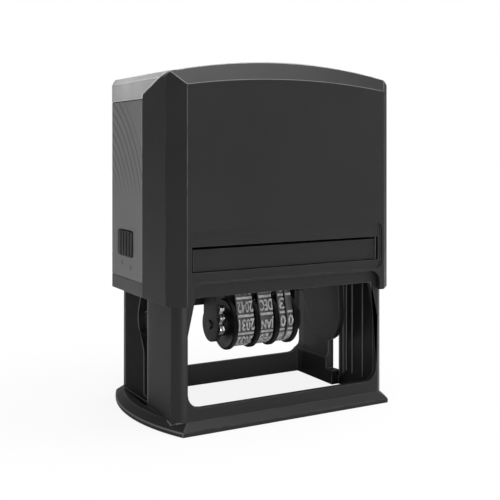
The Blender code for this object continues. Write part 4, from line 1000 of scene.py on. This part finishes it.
def ribbed_legs(bm):
    """Upright ribs inside the front legs, and a web and a lip in each end wall's slot."""
    for side in (-1, 1):
        for (x, y, z), size in LEG_BLOCKS:
            block = Matrix.Translation((side * x, y, z)) @ Matrix.Diagonal((*size, 1))
            bmesh.ops.create_cube(bm, size=1.0, matrix=block)


def seated_strip(bm):
    """The cartridge's front strip rests on the slot's floor and leaves the gap above it."""
    for v in bm.verts:
        if v.co.y > STRIP_BACK:
            continue
        if v.co.z < STRIP_MIDDLE:
            v.co.z -= STRIP_DROP_LOW
        else:
            v.co.z -= STRIP_DROP_HIGH
        v.co.x -= math.copysign(STRIP_NARROW, v.co.x) if abs(v.co.x) > STRIP_END else 0.0


dressed("front_cover", black_plastic, 0.00022)
dressed("rear_cover", black_plastic, 0.00022)
dressed("side_panel_left", grey_plastic, 0.00016)
dressed("side_panel_right", grey_plastic, 0.00016)
dressed("lock_button_left", wheel_plastic, 0.00014)
dressed("lock_button_right", wheel_plastic, 0.00014)
dressed("index_window", acrylic, 0.00016)
dressed("index_card", card_stock, 0.00004, 1)
dressed("inner_yoke", yoke_plastic, 0.00018)
dressed("axle_left", pin_steel, 0.0002)
dressed("axle_right", pin_steel, 0.0002)
dressed("base_frame", frame_plastic, 0.0003, 3, before=ribbed_legs, soft=LEG_CORNERS)
dressed("ink_pad_tray", cartridge_plastic, 0.0002, before=seated_strip)

# Carrier and date unit

dressed("type_carrier", carrier_plastic, 0.0002)
dressed("type_plate", plate_plastic, 0.00012)
dressed("text_die", die_rubber, 0.0001)
dressed("wheel_shaft", dark_steel, 0.0002)
dressed("band_cheek_left", carrier_plastic, 0.00018)
dressed("band_cheek_right", carrier_plastic, 0.00018)
dressed("band_anvil", carrier_plastic, 0.0001)
clip_blade()
dressed("ink_pad_felt", ink_felt, 0.0003)
for node, ends, radii in WHEELS:
    wheel(node, wheel_profile(*ends, radii), wheel_plastic)
for node, low, high, rows in BANDS:
    date_band(node, low, high, rows)

# Return springs

springs = spring_tree()
for side, label in ((-1, "left"), (1, "right")):
    wound = springs.grown("return_spring_" + label + "_wound", {
        "Radius": SPRING_RADIUS,
        "Height": SPRING_HIGH - SPRING_LOW - 2 * SPRING_WIRE,
        "Wire": SPRING_WIRE,
        **SPRING_TREE,
    })
    wound.data.transform(Matrix.Translation((side * SPRING_X, 0, SPRING_LOW + SPRING_WIRE)))
    wound.data.shade_smooth()
    finished(wound, wire_steel, "base", ("return_spring_" + label,))
    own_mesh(wound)

# Floor, light and camera

def stage_finish():
    """Pale matt floor: it takes the object's shadow near the middle and fades to plain white."""
    material = bpy.data.materials.new("pale floor")
    made = Nodes(material)
    place = made.node("ShaderNodeTexCoord").value("Object")
    reach = made.node("ShaderNodeVectorMath", {"operation": "LENGTH"}, {0: place}).value("Value")
    share = FLOOR_GLOW_SHARE + reach.step(*FLOOR_FADE) * (1.0 - FLOOR_GLOW_SHARE)
    share = made.node("ShaderNodeLightPath").value("Is Camera Ray") * share
    matt = made.node("ShaderNodeBsdfDiffuse", None, {"Color": (*grey(0.85), 1)}).value("BSDF")
    glow = made.node("ShaderNodeEmission", None, {"Color": WHITE, "Strength": FLOOR_GLOW}).value("Emission")
    mix = made.node("ShaderNodeMixShader", None, {0: share, 1: matt, 2: glow}).value("Shader")
    made.node("ShaderNodeOutputMaterial", None, {"Surface": mix})
    return material


def floor():
    """A wide flat sheet under the object."""
    bm = bmesh.new()
    bmesh.ops.create_grid(bm, x_segments=1, y_segments=1, size=FLOOR_REACH)
    mesh = bpy.data.meshes.new("floor")
    bm.to_mesh(mesh)
    bm.free()
    made = bpy.data.objects.new("floor", mesh)
    bpy.context.scene.collection.objects.link(made)
    mesh.materials.append(stage_finish())


def world_light(ambient):
    """White where the camera sees it, straight or through clear parts, and dimmer as light."""
    world = bpy.data.worlds.new("studio")
    bpy.context.scene.world = world
    made = Nodes(world)
    path = made.node("ShaderNodeLightPath")
    seen = path.value("Is Camera Ray").larger(path.value("Is Transmission Ray"))
    inputs = {0: seen}
    for place, level in ((1, ambient), (2, 1.0)):
        shade = made.node("ShaderNodeBackground", None, {"Color": WHITE, "Strength": level})
        inputs[place] = shade.value("Background")
    mix = made.node("ShaderNodeMixShader", None, inputs).value("Shader")
    made.node("ShaderNodeOutputWorld", None, {"Surface": mix})


def lamp(name, place, aim, size, power):
    data = bpy.data.lights.new(name, "AREA")
    data.shape = "RECTANGLE"
    data.size, data.size_y = size
    data.energy = power
    made = bpy.data.objects.new(name, data)
    bpy.context.scene.collection.objects.link(made)
    made.location = place
    made.rotation_euler = (Vector(aim) - Vector(place)).to_track_quat("-Z", "Y").to_euler()


floor()
world_light(AMBIENT)
for softbox in LAMPS:
    lamp(*softbox)

scene = bpy.context.scene
scene.view_settings.view_transform = "Standard"
camera_data = bpy.data.cameras.new("camera")
camera_data.sensor_width = CAMERA_SENSOR
camera_data.lens = CAMERA_LENS
camera_data.shift_y = CAMERA_SHIFT
camera_data.clip_start = 0.01
camera = bpy.data.objects.new("camera", camera_data)
scene.collection.objects.link(camera)
camera.location = CAMERA_PLACE
camera.rotation_euler = (math.radians(90), 0, math.radians(CAMERA_TURN))
scene.camera = camera
